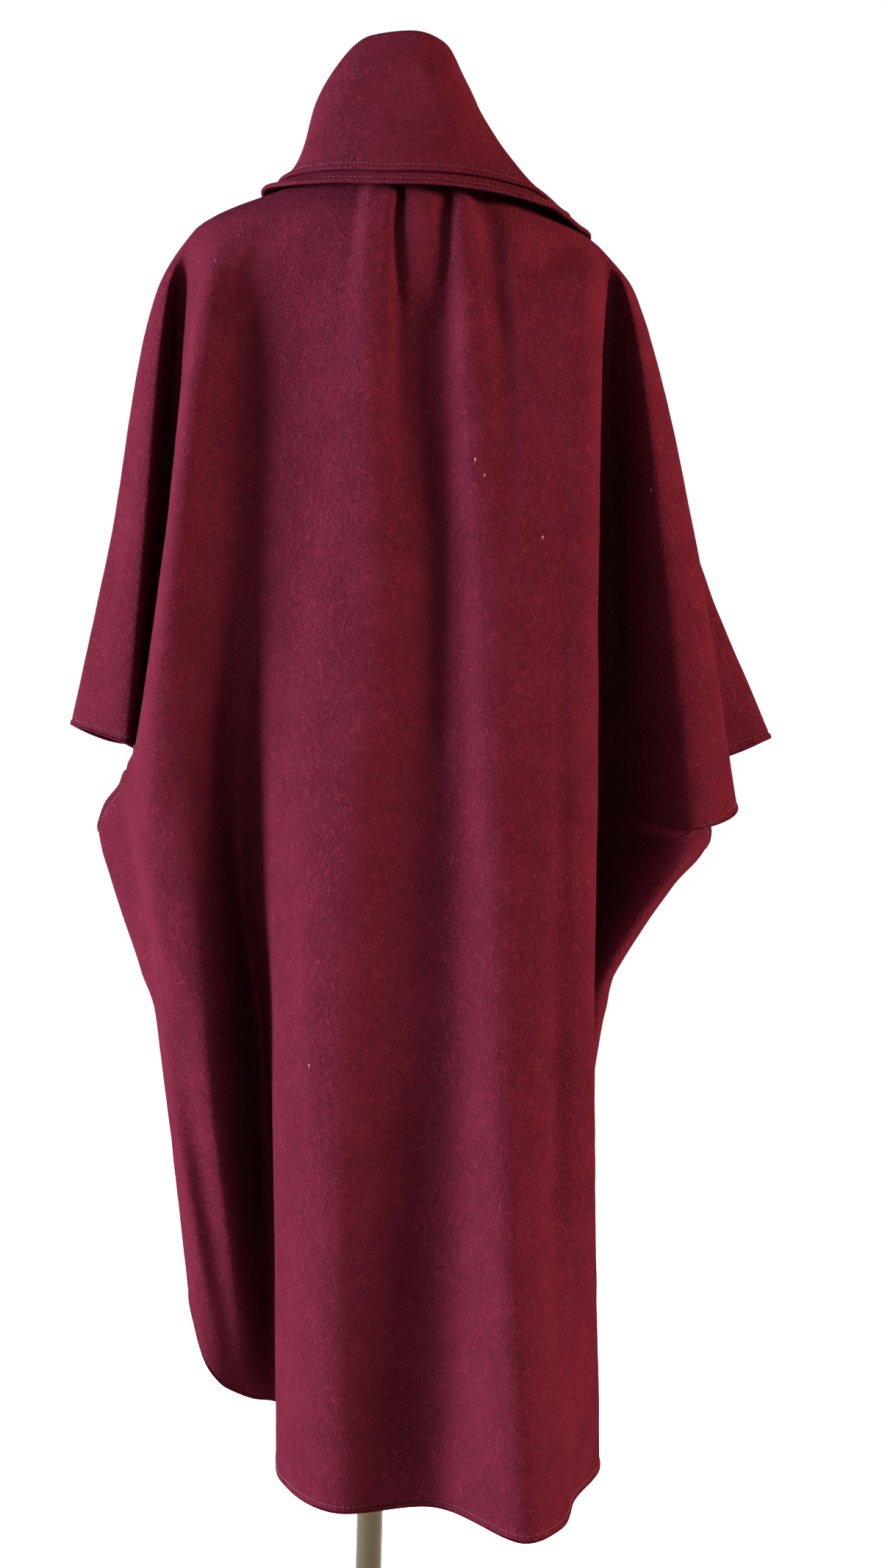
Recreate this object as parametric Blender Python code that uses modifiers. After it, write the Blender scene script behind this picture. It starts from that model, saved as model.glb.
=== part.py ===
"""Wool cape coat on a limbless dress form, modelled in metres with +Z up.

The coat hangs from the shoulders of the form. The wearer faces -Y, so the back panel
is at +Y and the wearer's left is at +X. The origin is on the floor, on the pole's axis.

The cloth is one surface, worked out from a table of fold lines. Each line runs from the
neck to the hem and is a crest or a valley of the drape. Across the cloth a smooth curve
joins the lines, and down the cloth another one joins their places at the named levels.
The panels are cut from that surface along the seams.
"""

from collections import namedtuple
from math import cos, radians, sin

import bmesh
import bpy
import numpy as np

# Cloth
MM = 0.001
UP = np.array((0, 0, 1.0))
WALL = 0.0026
SEAM_GAP = 0.00032
COLUMN_SPACING = 0.030
PLEAT_COLUMN_SPACING = 0.020
SHOULDER_ROWS = (0, 12, 28, 46, 68, 92)
SLEEVE_ROWS = 10
LOWER_ROWS = 10

# Neck opening and the ring where the shoulders turn down, as half-widths and depths
NECK_LEFT = 0.082
NECK_RIGHT = 0.088
NECK_BACK = 0.087
NECK_FRONT = 0.080
YOKE_LEFT = 0.193
YOKE_RIGHT = 0.184
YOKE_BACK = 0.116
YOKE_FRONT = 0.106

# Heights in mm of each level at the wearer's left and right side, back and front, and
# how far down the cloth from the neck seam the level lies
Level = namedtuple("Level", "name down left right back front")
LEVELS = (
    Level("neck", 0, 1450, 1446, 1437, 1402),
    Level("yoke", 62, 1397, 1392, 1385, 1345),
    Level("shoulder", 140, 1340, 1350, 1300, 1270),
    Level("elbow", 360, 1113, 1127, 1090, 1070),
    Level("cuff", 530, 952, 957, 925, 925),
    Level("underarm", 570, 867, 851, 885, 885),
    Level("side", 760, 690, 690, 690, 690),
    Level("hem", 1140, 296, 296, 296, 400),
)
NECK, YOKE, SHOULDER, ELBOW, CUFF, UNDERARM, SIDE, HEM = range(8)

# Fold lines from the left front edge round the back to the right front edge. Each cell
# is across and out in mm at that level, across to the wearer's left and out to the
# back, and a third number is a height of its own. The first column is the angle at the
# neck, from the middle of the back.
Fold = namedtuple("Fold", "name neck shoulder elbow cuff underarm side hem")
FOLDS = (
    Fold("left_edge", 168, (38, -122), (30, -137), (28, -144), (27, -144), (25, -143), (22, -150)),
    Fold("left_chest", 135, (125, -108), (140, -122), (148, -130), (146, -128), (122, -130), (95, -148)),
    Fold("left_front", 112, (208, -48), (246, -80), (264, -92, 928), (240, -72, 890), (196, -92), (150, -130, 404)),
    Fold("left_arm", 90, (227, -5), (267, -35), (299, -42, 953), (268, -22, 868), (211, -42), (180, -98, 414)),
    Fold("left_lobe", 78, (215, 20), (237, 2), (252, 4, 939), (258, 6, 885), (205, 8), (171, -76, 380)),
    Fold("left_cleft", 70, (201, 2), (211, -44), (226, -44, 932), (249, 29, 901), (196, 44), (160, -70, 352)),
    Fold("left_ridge", 62, (182, 56), (208, 48), (234, 38, 930), (240, 46, 915), (190, 58), (146, -76, 332)),
    Fold("left_crest", 48, (164, 105), (185, 121), (197, 113), (199, 106), (173, 82), (131, -86, 321)),
    Fold("left_flank", 39, (147, 105), (158, 114), (161, 104), (161, 98), (151, 70), (112, -98, 313)),
    Fold("left_valley", 30, (123, 93), (122, 93), (130, 64), (132, 46), (114, -14), (94, -110, 306)),
    Fold("mid_edge", 20, (88, 103), (86, 107), (98, 109), (98, 114), (85, 126), (78, 82)),
    Fold("mid_crest", 8, (28, 120), (14, 134), (28, 144), (36, 149), (38, 158), (25, 161)),
    Fold("mid_valley", -11, (-34, 111), (-50, 117), (-57, 129), (-60, 132), (-62, 138), (-57, 137)),
    Fold("right_crest", -30, (-60, 121), (-77, 134), (-87, 148), (-93, 157), (-101, 170), (-131, 220)),
    Fold("right_turn", -40, (-85, 118), (-104, 132), (-111, 145), (-115, 153), (-122, 167), (-163, 184)),
    Fold("right_crease", -48, (-108, 113), (-128, 126), (-132, 137), (-135, 145), (-142, 154), (-178, 116)),
    Fold("right_edge", -59, (-168, 98), (-172, 110), (-175, 119), (-177, 124), (-181, 134), (-206, 36, 301)),
    Fold("right_valley", -68, (-189, 24), (-187, -42), (-193, -50, 905), (-190, -44, 868), (-170, -24), (-190, -30, 312)),
    Fold("right_crest_in", -75, (-203, 38), (-238, 54), (-266, 74, 872), (-262, 66, 860), (-186, 0), (-188, -48, 325)),
    Fold("right_crest_out", -80, (-212, 18), (-271, 32), (-312, 48, 889), (-281, 42, 879), (-194, -4), (-186, -62, 340)),
    Fold("right_cleft", -85, (-216, 3), (-260, 2), (-286, -4, 925), (-292, 18, 873), (-200, -18), (-183, -76, 360)),
    Fold("right_arm", -90, (-217, -12), (-279, -28), (-352, -30, 957), (-291, -8, 857), (-204, -36), (-178, -90, 385)),
    Fold("right_front", -112, (-202, -50), (-255, -74), (-300, -90, 935), (-264, -62, 872), (-203, -80), (-148, -118, 398)),
    Fold("right_chest", -135, (-123, -108), (-140, -124), (-150, -134), (-146, -130), (-120, -132), (-92, -138)),
    Fold("right_edge_front", -168, (-38, -122), (-30, -137), (-28, -144), (-27, -144), (-25, -143), (-22, -146)),
)
LINE = {fold.name: number for number, fold in enumerate(FOLDS)}

# The lines that end at a cuff, and how far the two cuff openings reach along the cloth
SLEEVE_LINES = ("left_front", "left_arm", "left_lobe", "left_cleft",
                "right_crest_out", "right_cleft", "right_arm", "right_front")
LEFT_CUFF = (LINE["left_chest"] + 0.5, LINE["left_ridge"])
RIGHT_CUFF = (LINE["right_crest_in"], LINE["right_front"] + 0.5)

# Pleats under the collar: place across the back at the top and where they fade, height
# and half-width, all in mm, and how far down they reach
PLEAT_FULL_DOWN = 0.030
PLEAT_FADE = 1.5
Pleat = namedtuple("Pleat", "name top low height half_width length")
PLEATS = (
    Pleat("left", 20, 15, 12, 14, 330),
    Pleat("middle", -14, -28, 9, 13, 210),
    Pleat("right", -52, -66, 12, 15, 340),
    Pleat("far_right", -94, -108, 6, 18, 190),
)

# Collar stations round the neck, from the left front to the right front: angle from
# the middle of the back, the roll line's place in mm, how far down the coat the lower
# edge lies, how far it stands off the coat, and how much of the under collar shows
Station = namedtuple("Station", "angle across out height edge_down stand_off shows")
COLLAR = (
    Station(160, 44, -104, 1416, 120, 10, 10),
    Station(138, 68, -86, 1430, 70, 9, 9),
    Station(112, 78, -46, 1452, 18, 7, 6),
    Station(88, 80, -14, 1476, 15, 7, 7),
    Station(64, 74, 12, 1510, 14, 8, 10),
    Station(38, 57, 32, 1547, 18, 13, 12),
    Station(16, 31, 42, 1569, 20, 17, 12),
    Station(-4, -5, 44, 1574, 20, 18, 12),
    Station(-24, -30, 40, 1567, 24, 19, 13),
    Station(-44, -47, 28, 1541, 31, 17, 15),
    Station(-66, -67, 8, 1503, 37, 7, 14),
    Station(-88, -84, -14, 1461, 35, 5, 13),
    Station(-112, -83, -46, 1446, 40, 5, 9),
    Station(-138, -70, -86, 1428, 80, 9, 9),
    Station(-160, -44, -104, 1416, 120, 10, 10),
)

# The upper collar's rows: the stand, the turn at the roll line and the fall
COLLAR_SEAM_GAP = 0.0005
STAND_ROWS = 5
FALL_ROWS = 5
STAND_PULL = 0.3
ROLL_RADIUS = 0.007
ROLL_SHOULDER = 0.7
FALL_HUGS = 1.2

# The under collar's rows: where it starts on the coat and how close it lies
UNDER_ROWS = 6
UNDER_SEAM_DOWN = 0.005
UNDER_SEAM_GAP = 0.0011
UNDER_DEEPER = 0.0023
COLLAR_END_CLEAR = 3

# Dress form
FORM_CLEARANCE = 0.0012
NECK_RADIUS = 0.053
NECK_TOP = 1.478
NECK_CAP_THICKNESS = 0.006
NECK_STRAIGHT_FROM = 1.457
NECK_BASE_SHARE = 0.72
NECK_BASE_RISE = 0.006
FormRing = namedtuple("FormRing", "height side back front")
FORM_RINGS = (
    FormRing(1300, 158, 104, 98),
    FormRing(1220, 140, 98, 104),
    FormRing(1130, 128, 88, 96),
    FormRing(1040, 112, 76, 80),
    FormRing(960, 117, 80, 78),
    FormRing(890, 127, 88, 80),
    FormRing(868, 126, 88, 79),
)
POLE_RADIUS = 0.012
COLLET_RADIUS = 0.022
COLLET_HEIGHT = 0.040
BASE_RADIUS = 0.170
BASE_THICKNESS = 0.012
BASE_EDGE = 0.003
POLE_SIDES = 24
BASE_SIDES = 48

COAT_COLOUR = (0.16, 0.017, 0.036)
FORM_COLOUR = (0.62, 0.57, 0.49)
METAL_COLOUR = (0.30, 0.28, 0.22)


# ---- Smooth paths -------------------------------------------------------------------

def path_slopes(stations, values):
    """Slopes of a smooth path through the values that never overshoots them."""
    rises = np.diff(values, axis=0) / np.diff(stations)[:, None]
    before, after = rises[:-1], rises[1:]
    same_way = before * after > 0
    total = np.where(same_way, before + after, 1.0)
    inner = np.where(same_way, 2 * before * after / total, 0.0)
    return np.vstack([rises[:1], inner, rises[-1:]])


def on_path(stations, values, at):
    """The smooth path's points at these places along it."""
    slopes = path_slopes(stations, values)
    at = np.atleast_1d(np.asarray(at, float))
    i = np.clip(np.searchsorted(stations, at, side="right") - 1, 0, len(stations) - 2)
    step = (stations[i + 1] - stations[i])[:, None]
    t = (at - stations[i])[:, None] / step
    start, end = values[i], values[i + 1]
    out_of, into = slopes[i] * step, slopes[i + 1] * step
    return (start * (2 * t**3 - 3 * t**2 + 1) + out_of * (t**3 - 2 * t**2 + t)
            + end * (3 * t**2 - 2 * t**3) + into * (t**3 - t**2))


def across_curve(knots, at):
    """A rounded curve through the knots, at these fractional knot numbers."""
    first, last = 2 * knots[0] - knots[1], 2 * knots[-1] - knots[-2]
    padded = np.vstack([first, knots, last])
    at = np.asarray(at, float)
    i = np.clip(np.floor(at).astype(int), 0, len(knots) - 2)
    t = (at - i)[:, None]
    p0, p1, p2, p3 = (padded[i + k] for k in range(4))
    d0, d1, d2 = (np.sqrt(np.linalg.norm(b - a, axis=1))[:, None] + 1e-6
                  for a, b in ((p0, p1), (p1, p2), (p2, p3)))
    out_of = d1 * ((p1 - p0) / d0 - (p2 - p0) / (d0 + d1) + (p2 - p1) / d1)
    into = d1 * ((p2 - p1) / d1 - (p3 - p1) / (d1 + d2) + (p3 - p2) / d2)
    return (p1 * (2 * t**3 - 3 * t**2 + 1) + out_of * (t**3 - 2 * t**2 + t)
            + p2 * (3 * t**2 - 2 * t**3) + into * (t**3 - t**2))


def bump(distance, half_width):
    """A rounded bump, 1 in its middle and 0 beyond its half-width."""
    return np.clip(1 - (distance / half_width) ** 2, 0, None) ** 2


# ---- The cloth's surface ------------------------------------------------------------

def level_height(level, across, out):
    """Height in mm of a level in the direction of this point."""
    sideways = across**2 / (across**2 + out**2)
    side = level.left if across > 0 else level.right
    end = level.back if out > 0 else level.front
    return side * sideways + end * (1 - sideways)


def cell_point(level, cell):
    across, out = cell[:2]
    height = cell[2] if len(cell) > 2 else level_height(level, across, out)
    return np.array((across, out, height)) * MM


def ring_point(level, angle, left, right, back, front):
    """A point of an oval ring at this angle in degrees from the middle of the back."""
    across = sin(radians(angle))
    out = cos(radians(angle))
    across *= left if across > 0 else right
    out *= back if out > 0 else front
    return np.array((across, out, level_height(level, across, out) * MM))


def fold_points(fold):
    """The line's points at the eight levels."""
    neck = ring_point(LEVELS[NECK], fold.neck, NECK_LEFT, NECK_RIGHT, NECK_BACK, NECK_FRONT)
    yoke = ring_point(LEVELS[YOKE], fold.neck, YOKE_LEFT, YOKE_RIGHT, YOKE_BACK, YOKE_FRONT)
    cells = (fold.shoulder, fold.elbow, fold.cuff, fold.underarm, fold.side, fold.hem)
    lower = [cell_point(level, cell) for level, cell in zip(LEVELS[SHOULDER:], cells)]
    return np.array([neck, yoke] + lower)


LEVEL_DOWN = np.array([level.down for level in LEVELS]) * MM
CUFF_DOWN = LEVEL_DOWN[CUFF]
UNDERARM_DOWN = LEVEL_DOWN[UNDERARM]
HEM_DOWN = LEVEL_DOWN[HEM]
SHOULDER_DOWNS = np.array(SHOULDER_ROWS) * MM
SLEEVE_DOWNS = np.linspace(SHOULDER_DOWNS[-1], CUFF_DOWN, SLEEVE_ROWS + 1)[1:]
UPPER_DOWNS = np.concatenate([SHOULDER_DOWNS, SLEEVE_DOWNS])
FOLD_POINTS = [fold_points(fold) for fold in FOLDS]


def knots_at(down):
    """Where every fold line is, this far down the cloth. A sleeve's lines break at the
    cuff, so that the sleeve and the side under it are each smooth."""
    upper = down <= (CUFF_DOWN + UNDERARM_DOWN) / 2
    found = []
    for fold, points in zip(FOLDS, FOLD_POINTS):
        part = slice(None)
        if fold.name in SLEEVE_LINES:
            part = slice(0, UNDERARM) if upper else slice(UNDERARM, None)
        found.append(on_path(LEVEL_DOWN[part], points[part], down)[0])
    return np.array(found)


def pleat_rise(across, down):
    rise = np.zeros_like(across)
    for pleat in PLEATS:
        along = down / (pleat.length * MM)
        if along >= 1:
            continue
        middle = (pleat.top + (pleat.low - pleat.top) * along) * MM
        width = pleat.half_width * (1 + along) * MM
        begins = min(1, down / PLEAT_FULL_DOWN) ** 2
        height = pleat.height * MM * begins * (1 - along) ** PLEAT_FADE
        rise = rise + height * bump(across - middle, width)
    return rise


def cloth_row(down, lines, pleated=True):
    """The outer face's points this far down, at these fractional line numbers."""
    row = across_curve(knots_at(down), lines)
    if pleated:
        row[:, 1] += np.where(row[:, 1] > 0, pleat_rise(row[:, 0], down), 0)
    return row


def cloth_grid(downs, lines, pleated=True):
    return np.array([cloth_row(down, lines, pleated) for down in downs])


def outward(grid):
    """Unit normals of a grid of points, away from the form."""
    normals = np.cross(np.gradient(grid, axis=0), np.gradient(grid, axis=1))
    return normals / np.linalg.norm(normals, axis=2, keepdims=True)


def columns():
    """Line numbers of the mesh's columns, closer together than the spacing on every
    level, with one on each fold line and one at each end of the cuff openings."""
    points = np.array(FOLD_POINTS)
    widest = np.linalg.norm(np.diff(points, axis=0), axis=2).max(axis=1)
    found = [0.0]
    for line, width in enumerate(widest):
        pleated = LINE["mid_edge"] <= line < LINE["right_crease"]
        spacing = PLEAT_COLUMN_SPACING if pleated else COLUMN_SPACING
        pieces = 2 * max(1, round(width / spacing / 2))
        found += list(line + np.arange(1, pieces + 1) / pieces)
    return np.array(found)


# ---- Making solids ------------------------------------------------------------------

def material(name, colour, roughness, metallic=0.0):
    made = bpy.data.materials.new(name)
    made.use_nodes = True
    shader = made.node_tree.nodes["Principled BSDF"]
    shader.inputs["Base Color"].default_value = (*colour, 1)
    shader.inputs["Roughness"].default_value = roughness
    shader.inputs["Metallic"].default_value = metallic
    made.diffuse_color = (*colour, 1)
    return made


def add_object(name, mesh, finish):
    made = bpy.data.objects.new(name, mesh)
    mesh.materials.append(finish)
    COLLECTION.objects.link(made)
    return made


def mesh_of(name, bm):
    bmesh.ops.recalc_face_normals(bm, faces=bm.faces)
    mesh = bpy.data.meshes.new(name)
    bm.to_mesh(mesh)
    bm.free()
    mesh.shade_smooth()
    return mesh


def thick_sheet(name, outer, inner, kept, finish):
    """One closed wall between two grids of points, with a rim round each free edge.
    The rims of two panels that share a seam split along the same diagonals, so they
    stay parallel."""
    bm = bmesh.new()
    pairs = {}
    for row, column in zip(*np.nonzero(kept)):
        corners = ((row, column), (row + 1, column), (row + 1, column + 1), (row, column + 1))
        for corner in corners:
            if corner not in pairs:
                pairs[corner] = bm.verts.new(outer[corner]), bm.verts.new(inner[corner])
        bm.faces.new([pairs[corner][0] for corner in corners])
        bm.faces.new([pairs[corner][1] for corner in reversed(corners)])
    partner = dict(pairs.values())
    for edge in [edge for edge in bm.edges if edge.is_boundary]:
        high, low = sorted(edge.verts, key=lambda vert: -vert.co.z)
        if high in partner:
            bm.faces.new((high, low, partner[low]))
            bm.faces.new((high, partner[low], partner[high]))
    return add_object(name, mesh_of(name, bm), finish)


def loft(name, rings, finish):
    """One solid through closed rings of points, flat at both ends."""
    bm = bmesh.new()
    rows = [[bm.verts.new(point) for point in ring] for ring in rings]
    for upper, lower in zip(rows, rows[1:]):
        for i in range(len(upper)):
            bm.faces.new((upper[i - 1], upper[i], lower[i], lower[i - 1]))
    bm.faces.new(rows[0])
    bm.faces.new(rows[-1])
    return add_object(name, mesh_of(name, bm), finish)


def disc(name, radius, low, high, sides, finish, edge=0.0):
    """A round piece standing on the axis, with its rims eased by a bevel."""
    bm = bmesh.new()
    bmesh.ops.create_cone(bm, cap_ends=True, segments=sides, radius1=radius,
                          radius2=radius, depth=high - low)
    made = add_object(name, mesh_of(name, bm), finish)
    made.data.set_sharp_from_angle(angle=radians(40))
    made.location.z = (low + high) / 2
    if edge:
        eased = made.modifiers.new("eased_rims", "BEVEL")
        eased.width = edge
        eased.segments = 2
    return made


# ---- Coat ---------------------------------------------------------------------------

def across_seam(grid, column):
    """Half a seam's gap on each row, square to the seam, toward the next column."""
    along = np.gradient(grid[:, column], axis=0)
    along /= np.linalg.norm(along, axis=1, keepdims=True)
    step = grid[:, column + 1] - grid[:, column - 1]
    step -= along * (step * along).sum(axis=1, keepdims=True)
    return step / np.linalg.norm(step, axis=1, keepdims=True) * SEAM_GAP / 2


def make_panels(finish):
    lines = columns()
    upper = cloth_grid(UPPER_DOWNS, lines)
    lower = cloth_grid(np.linspace(UNDERARM_DOWN, HEM_DOWN, LOWER_ROWS), lines)
    outer = np.vstack([upper, lower])
    inner = outer - WALL * np.vstack([outward(upper), outward(lower)])
    kept = np.ones((len(outer) - 1, len(lines) - 1), bool)
    middles = (lines[:-1] + lines[1:]) / 2
    for start, end in (LEFT_CUFF, RIGHT_CUFF):
        kept[len(upper) - 1, (middles > start) & (middles < end)] = False
    seams = [int(np.nonzero(lines == LINE[name])[0][0]) for name in ("left_arm", "right_arm")]
    last = len(lines) - 1
    for name, first, end in (("front_left", 0, seams[0]), ("back", *seams),
                             ("front_right", seams[1], last)):
        faces = []
        for grid in (outer, inner):
            face = grid[:, first:end + 1].copy()
            if first:
                face[:, 0] += across_seam(grid, first)
            if end < last:
                face[:, -1] -= across_seam(grid, end)
            faces.append(face)
        thick_sheet(name, *faces, kept[:, first:end], finish)


# ---- Collar -------------------------------------------------------------------------

def curve_between(start, start_pull, end_pull, end, count):
    """Points along a curve that leaves and arrives in the directions of its pulls."""
    t = np.linspace(0, 1, count)[:, None]
    a, b = start + start_pull, end - end_pull
    return (start * (1 - t)**3 + a * 3 * t * (1 - t)**2 + b * 3 * t**2 * (1 - t)
            + end * t**3)


class CoatTop:
    """The coat's top without its pleats, as the mesh has it, to lay the collars on."""

    def __init__(self, lines):
        self.grid = cloth_grid(UPPER_DOWNS, lines, pleated=False)
        self.normals = outward(self.grid)

    def at(self, column, down):
        """A point of the outer face, its normal and the way up the cloth."""
        i = min(np.searchsorted(UPPER_DOWNS, down, side="right") - 1, len(UPPER_DOWNS) - 2)
        t = (down - UPPER_DOWNS[i]) / (UPPER_DOWNS[i + 1] - UPPER_DOWNS[i])
        upper, lower = self.grid[i:i + 2, column]
        normal = self.normals[i, column] * (1 - t) + self.normals[i + 1, column] * t
        rise = (upper - lower) / np.linalg.norm(upper - lower)
        return upper * (1 - t) + lower * t, normal / np.linalg.norm(normal), rise


def upper_section(coat, column, station):
    """The upper collar from the neck seam up, over the roll line and down outside."""
    away = np.array((sin(radians(station.angle)), cos(radians(station.angle)), 0))
    seam, _, rise = coat.at(column, 0)
    seam = seam + rise * COLLAR_SEAM_GAP
    top = np.array((station.across, station.out, station.height)) * MM
    stand_end = top - (away + UP) * ROLL_RADIUS
    fall_start = top + (away - UP) * ROLL_RADIUS
    pull = (stand_end - seam)[2] * STAND_PULL
    stand = curve_between(seam, (rise + UP) / 2 * pull, UP * pull, stand_end, STAND_ROWS)
    shoulder = away * ROLL_SHOULDER
    lower = UP * (1 - ROLL_SHOULDER)
    turn = [top - (shoulder + lower) * ROLL_RADIUS, top, top + (shoulder - lower) * ROLL_RADIUS]
    point, normal, _ = coat.at(column, 0)
    lift = fall_start - point - normal * station.stand_off * MM
    fall = []
    for t in np.linspace(0, 1, FALL_ROWS):
        point, normal, _ = coat.at(column, station.edge_down * MM * t)
        lifted = (1 - t) ** (1 + FALL_HUGS * away[0] ** 2)
        fall.append(point + normal * station.stand_off * MM + lift * lifted)
    return np.vstack([stand, turn, fall])


def under_section(coat, column, station):
    """The under collar: a layer between the coat and the upper collar's fall."""
    section = []
    edge = station.edge_down * MM
    low = station.stand_off * MM - WALL - UNDER_DEEPER
    for down in np.linspace(UNDER_SEAM_DOWN, edge + station.shows * MM, UNDER_ROWS):
        point, normal, _ = coat.at(column, down)
        share = min(1, (down - UNDER_SEAM_DOWN) / (edge - UNDER_SEAM_DOWN))
        section.append(point + normal * (UNDER_SEAM_GAP + low * sin(radians(90 * share))))
    return section


def make_collar(name, section, finish):
    """One collar layer, on the columns of the coat's own mesh."""
    table = np.array(COLLAR, float)
    every = columns()
    angles = np.interp(every, range(len(FOLDS)), [fold.neck for fold in FOLDS])
    within = abs(angles) < table[0, 0] - COLLAR_END_CLEAR
    angles = np.concatenate([table[:1, 0], angles[within], table[-1:, 0]])
    lines = np.interp(-angles, [-fold.neck for fold in FOLDS], range(len(FOLDS)))
    coat = CoatTop(lines)
    stations = [Station(*row) for row in on_path(-table[:, 0], table, -angles)]
    grid = np.array([section(coat, i, station) for i, station in enumerate(stations)])
    grid = grid.transpose(1, 0, 2)
    kept = np.ones((grid.shape[0] - 1, grid.shape[1] - 1), bool)
    return thick_sheet(name, grid, grid + WALL * outward(grid), kept, finish)


# ---- Dress form ---------------------------------------------------------------------

def make_form(cloth_finish, metal):
    lines = columns()[::2]
    angles = np.interp(lines, range(len(FOLDS)), [fold.neck for fold in FOLDS])
    directions = np.array([(sin(radians(a)), cos(radians(a)), 0) for a in angles])
    shoulders = cloth_grid(SHOULDER_DOWNS[:5], lines, pleated=False)
    shoulders -= (WALL + FORM_CLEARANCE) * outward(shoulders)
    neck_base = shoulders[0] * (NECK_BASE_SHARE, NECK_BASE_SHARE, 1) + UP * NECK_BASE_RISE
    rings = [directions * NECK_RADIUS + UP * (NECK_TOP - NECK_CAP_THICKNESS - SEAM_GAP),
             directions * NECK_RADIUS + UP * NECK_STRAIGHT_FROM,
             neck_base]
    rings += list(shoulders[:4])
    for ring in FORM_RINGS:
        depth = np.where(directions[:, 1] > 0, ring.back, ring.front)
        sizes = np.stack([np.full(len(angles), ring.side), depth, depth * 0], axis=1)
        rings.append(directions * sizes * MM + (0, 0, ring.height * MM))
    loft("form_torso", rings, cloth_finish)
    disc("form_neck_cap", NECK_RADIUS, NECK_TOP - NECK_CAP_THICKNESS, NECK_TOP, POLE_SIDES,
         metal)
    under = FORM_RINGS[-1].height * MM
    collet_low = under - SEAM_GAP - COLLET_HEIGHT
    disc("form_collet", COLLET_RADIUS, collet_low, under - SEAM_GAP, POLE_SIDES, metal)
    disc("form_pole", POLE_RADIUS, BASE_THICKNESS + SEAM_GAP, collet_low - SEAM_GAP,
         POLE_SIDES, metal)
    disc("form_base", BASE_RADIUS, 0, BASE_THICKNESS, BASE_SIDES, metal, BASE_EDGE)


def clear_scene():
    for item in list(bpy.data.objects):
        bpy.data.objects.remove(item, do_unlink=True)


clear_scene()
COLLECTION = bpy.data.collections.new("wool_cape_coat_on_dress_form")
bpy.context.scene.collection.children.link(COLLECTION)
WOOL = material("wine_wool", COAT_COLOUR, 0.95)
LINEN = material("form_linen", FORM_COLOUR, 0.9)
METAL = material("satin_metal", METAL_COLOUR, 0.35, 1.0)
make_panels(WOOL)
make_collar("collar_upper", upper_section, WOOL)
make_collar("collar_under", under_section, WOOL)
make_form(LINEN, METAL)
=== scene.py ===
"""Wool cape coat on a limbless dress form, finished for rendering.

The file is laid out as a Blender add-on. Its properties hold the sizes and colours, and
each operator makes one piece or one group of like pieces. Lengths are in metres unless a
name says mm, +Z is up, and the wearer faces -Y with the left side at +X.
"""

from collections import namedtuple
from math import cos, pi, radians, sin

import bpy
import numpy as np
from bpy.props import FloatProperty, FloatVectorProperty, IntProperty, PointerProperty
from bpy.types import Operator, Panel, PropertyGroup
from mathutils import Euler, Matrix, Vector, noise


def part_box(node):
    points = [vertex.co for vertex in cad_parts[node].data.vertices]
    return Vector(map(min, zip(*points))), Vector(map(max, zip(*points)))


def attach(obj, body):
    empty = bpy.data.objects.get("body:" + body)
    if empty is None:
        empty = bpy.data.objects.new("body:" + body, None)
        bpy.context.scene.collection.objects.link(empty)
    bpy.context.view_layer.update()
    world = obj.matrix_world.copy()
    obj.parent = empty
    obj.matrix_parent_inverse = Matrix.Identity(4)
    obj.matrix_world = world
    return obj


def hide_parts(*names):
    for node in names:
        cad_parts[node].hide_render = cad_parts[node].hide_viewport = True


bl_info = {
    "name": "Wool cape coat on a dress form",
    "version": (1, 0, 0),
    "blender": (4, 5, 0),
    "location": "3D View > Sidebar > Cape Coat",
    "description": "Makes a draped wool cape coat, the form under it and a plain studio",
    "category": "Object",
}

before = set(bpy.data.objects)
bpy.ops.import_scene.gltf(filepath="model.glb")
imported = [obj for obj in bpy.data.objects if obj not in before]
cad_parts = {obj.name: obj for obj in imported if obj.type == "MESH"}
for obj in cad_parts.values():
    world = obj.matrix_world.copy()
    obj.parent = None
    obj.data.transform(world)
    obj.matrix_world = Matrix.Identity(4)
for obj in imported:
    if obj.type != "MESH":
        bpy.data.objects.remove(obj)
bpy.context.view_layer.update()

MM = 0.001
UP = np.array((0, 0, 1.0))
BODY = "root"

# Small amounts that keep a comparison of line numbers and a division safe
TINY = 1e-6
LEAST_LENGTH = 1e-9


# ---- Tables of the cloth ------------------------------------------------------------

# Neck opening and the ring where the shoulders turn down, as half-widths and depths
Oval = namedtuple("Oval", "left right back front")
NECK_OVAL = Oval(0.082, 0.088, 0.087, 0.080)
YOKE_OVAL = Oval(0.193, 0.184, 0.116, 0.106)

# Heights in mm of each level at the left and right side, back and front, and how far
# down the cloth from the neck seam the level lies
Level = namedtuple("Level", "name down left right back front")
LEVELS = (
    Level("neck", 0, 1450, 1446, 1437, 1402),
    Level("yoke", 62, 1397, 1392, 1385, 1345),
    Level("shoulder", 140, 1340, 1350, 1300, 1270),
    Level("elbow", 360, 1113, 1127, 1090, 1070),
    Level("cuff", 530, 952, 957, 925, 925),
    Level("underarm", 570, 867, 851, 885, 885),
    Level("side", 760, 690, 690, 690, 690),
    Level("hem", 1140, 296, 296, 296, 400),
)
NECK, YOKE, SHOULDER, ELBOW, CUFF, UNDERARM, SIDE, HEM = range(8)

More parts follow.
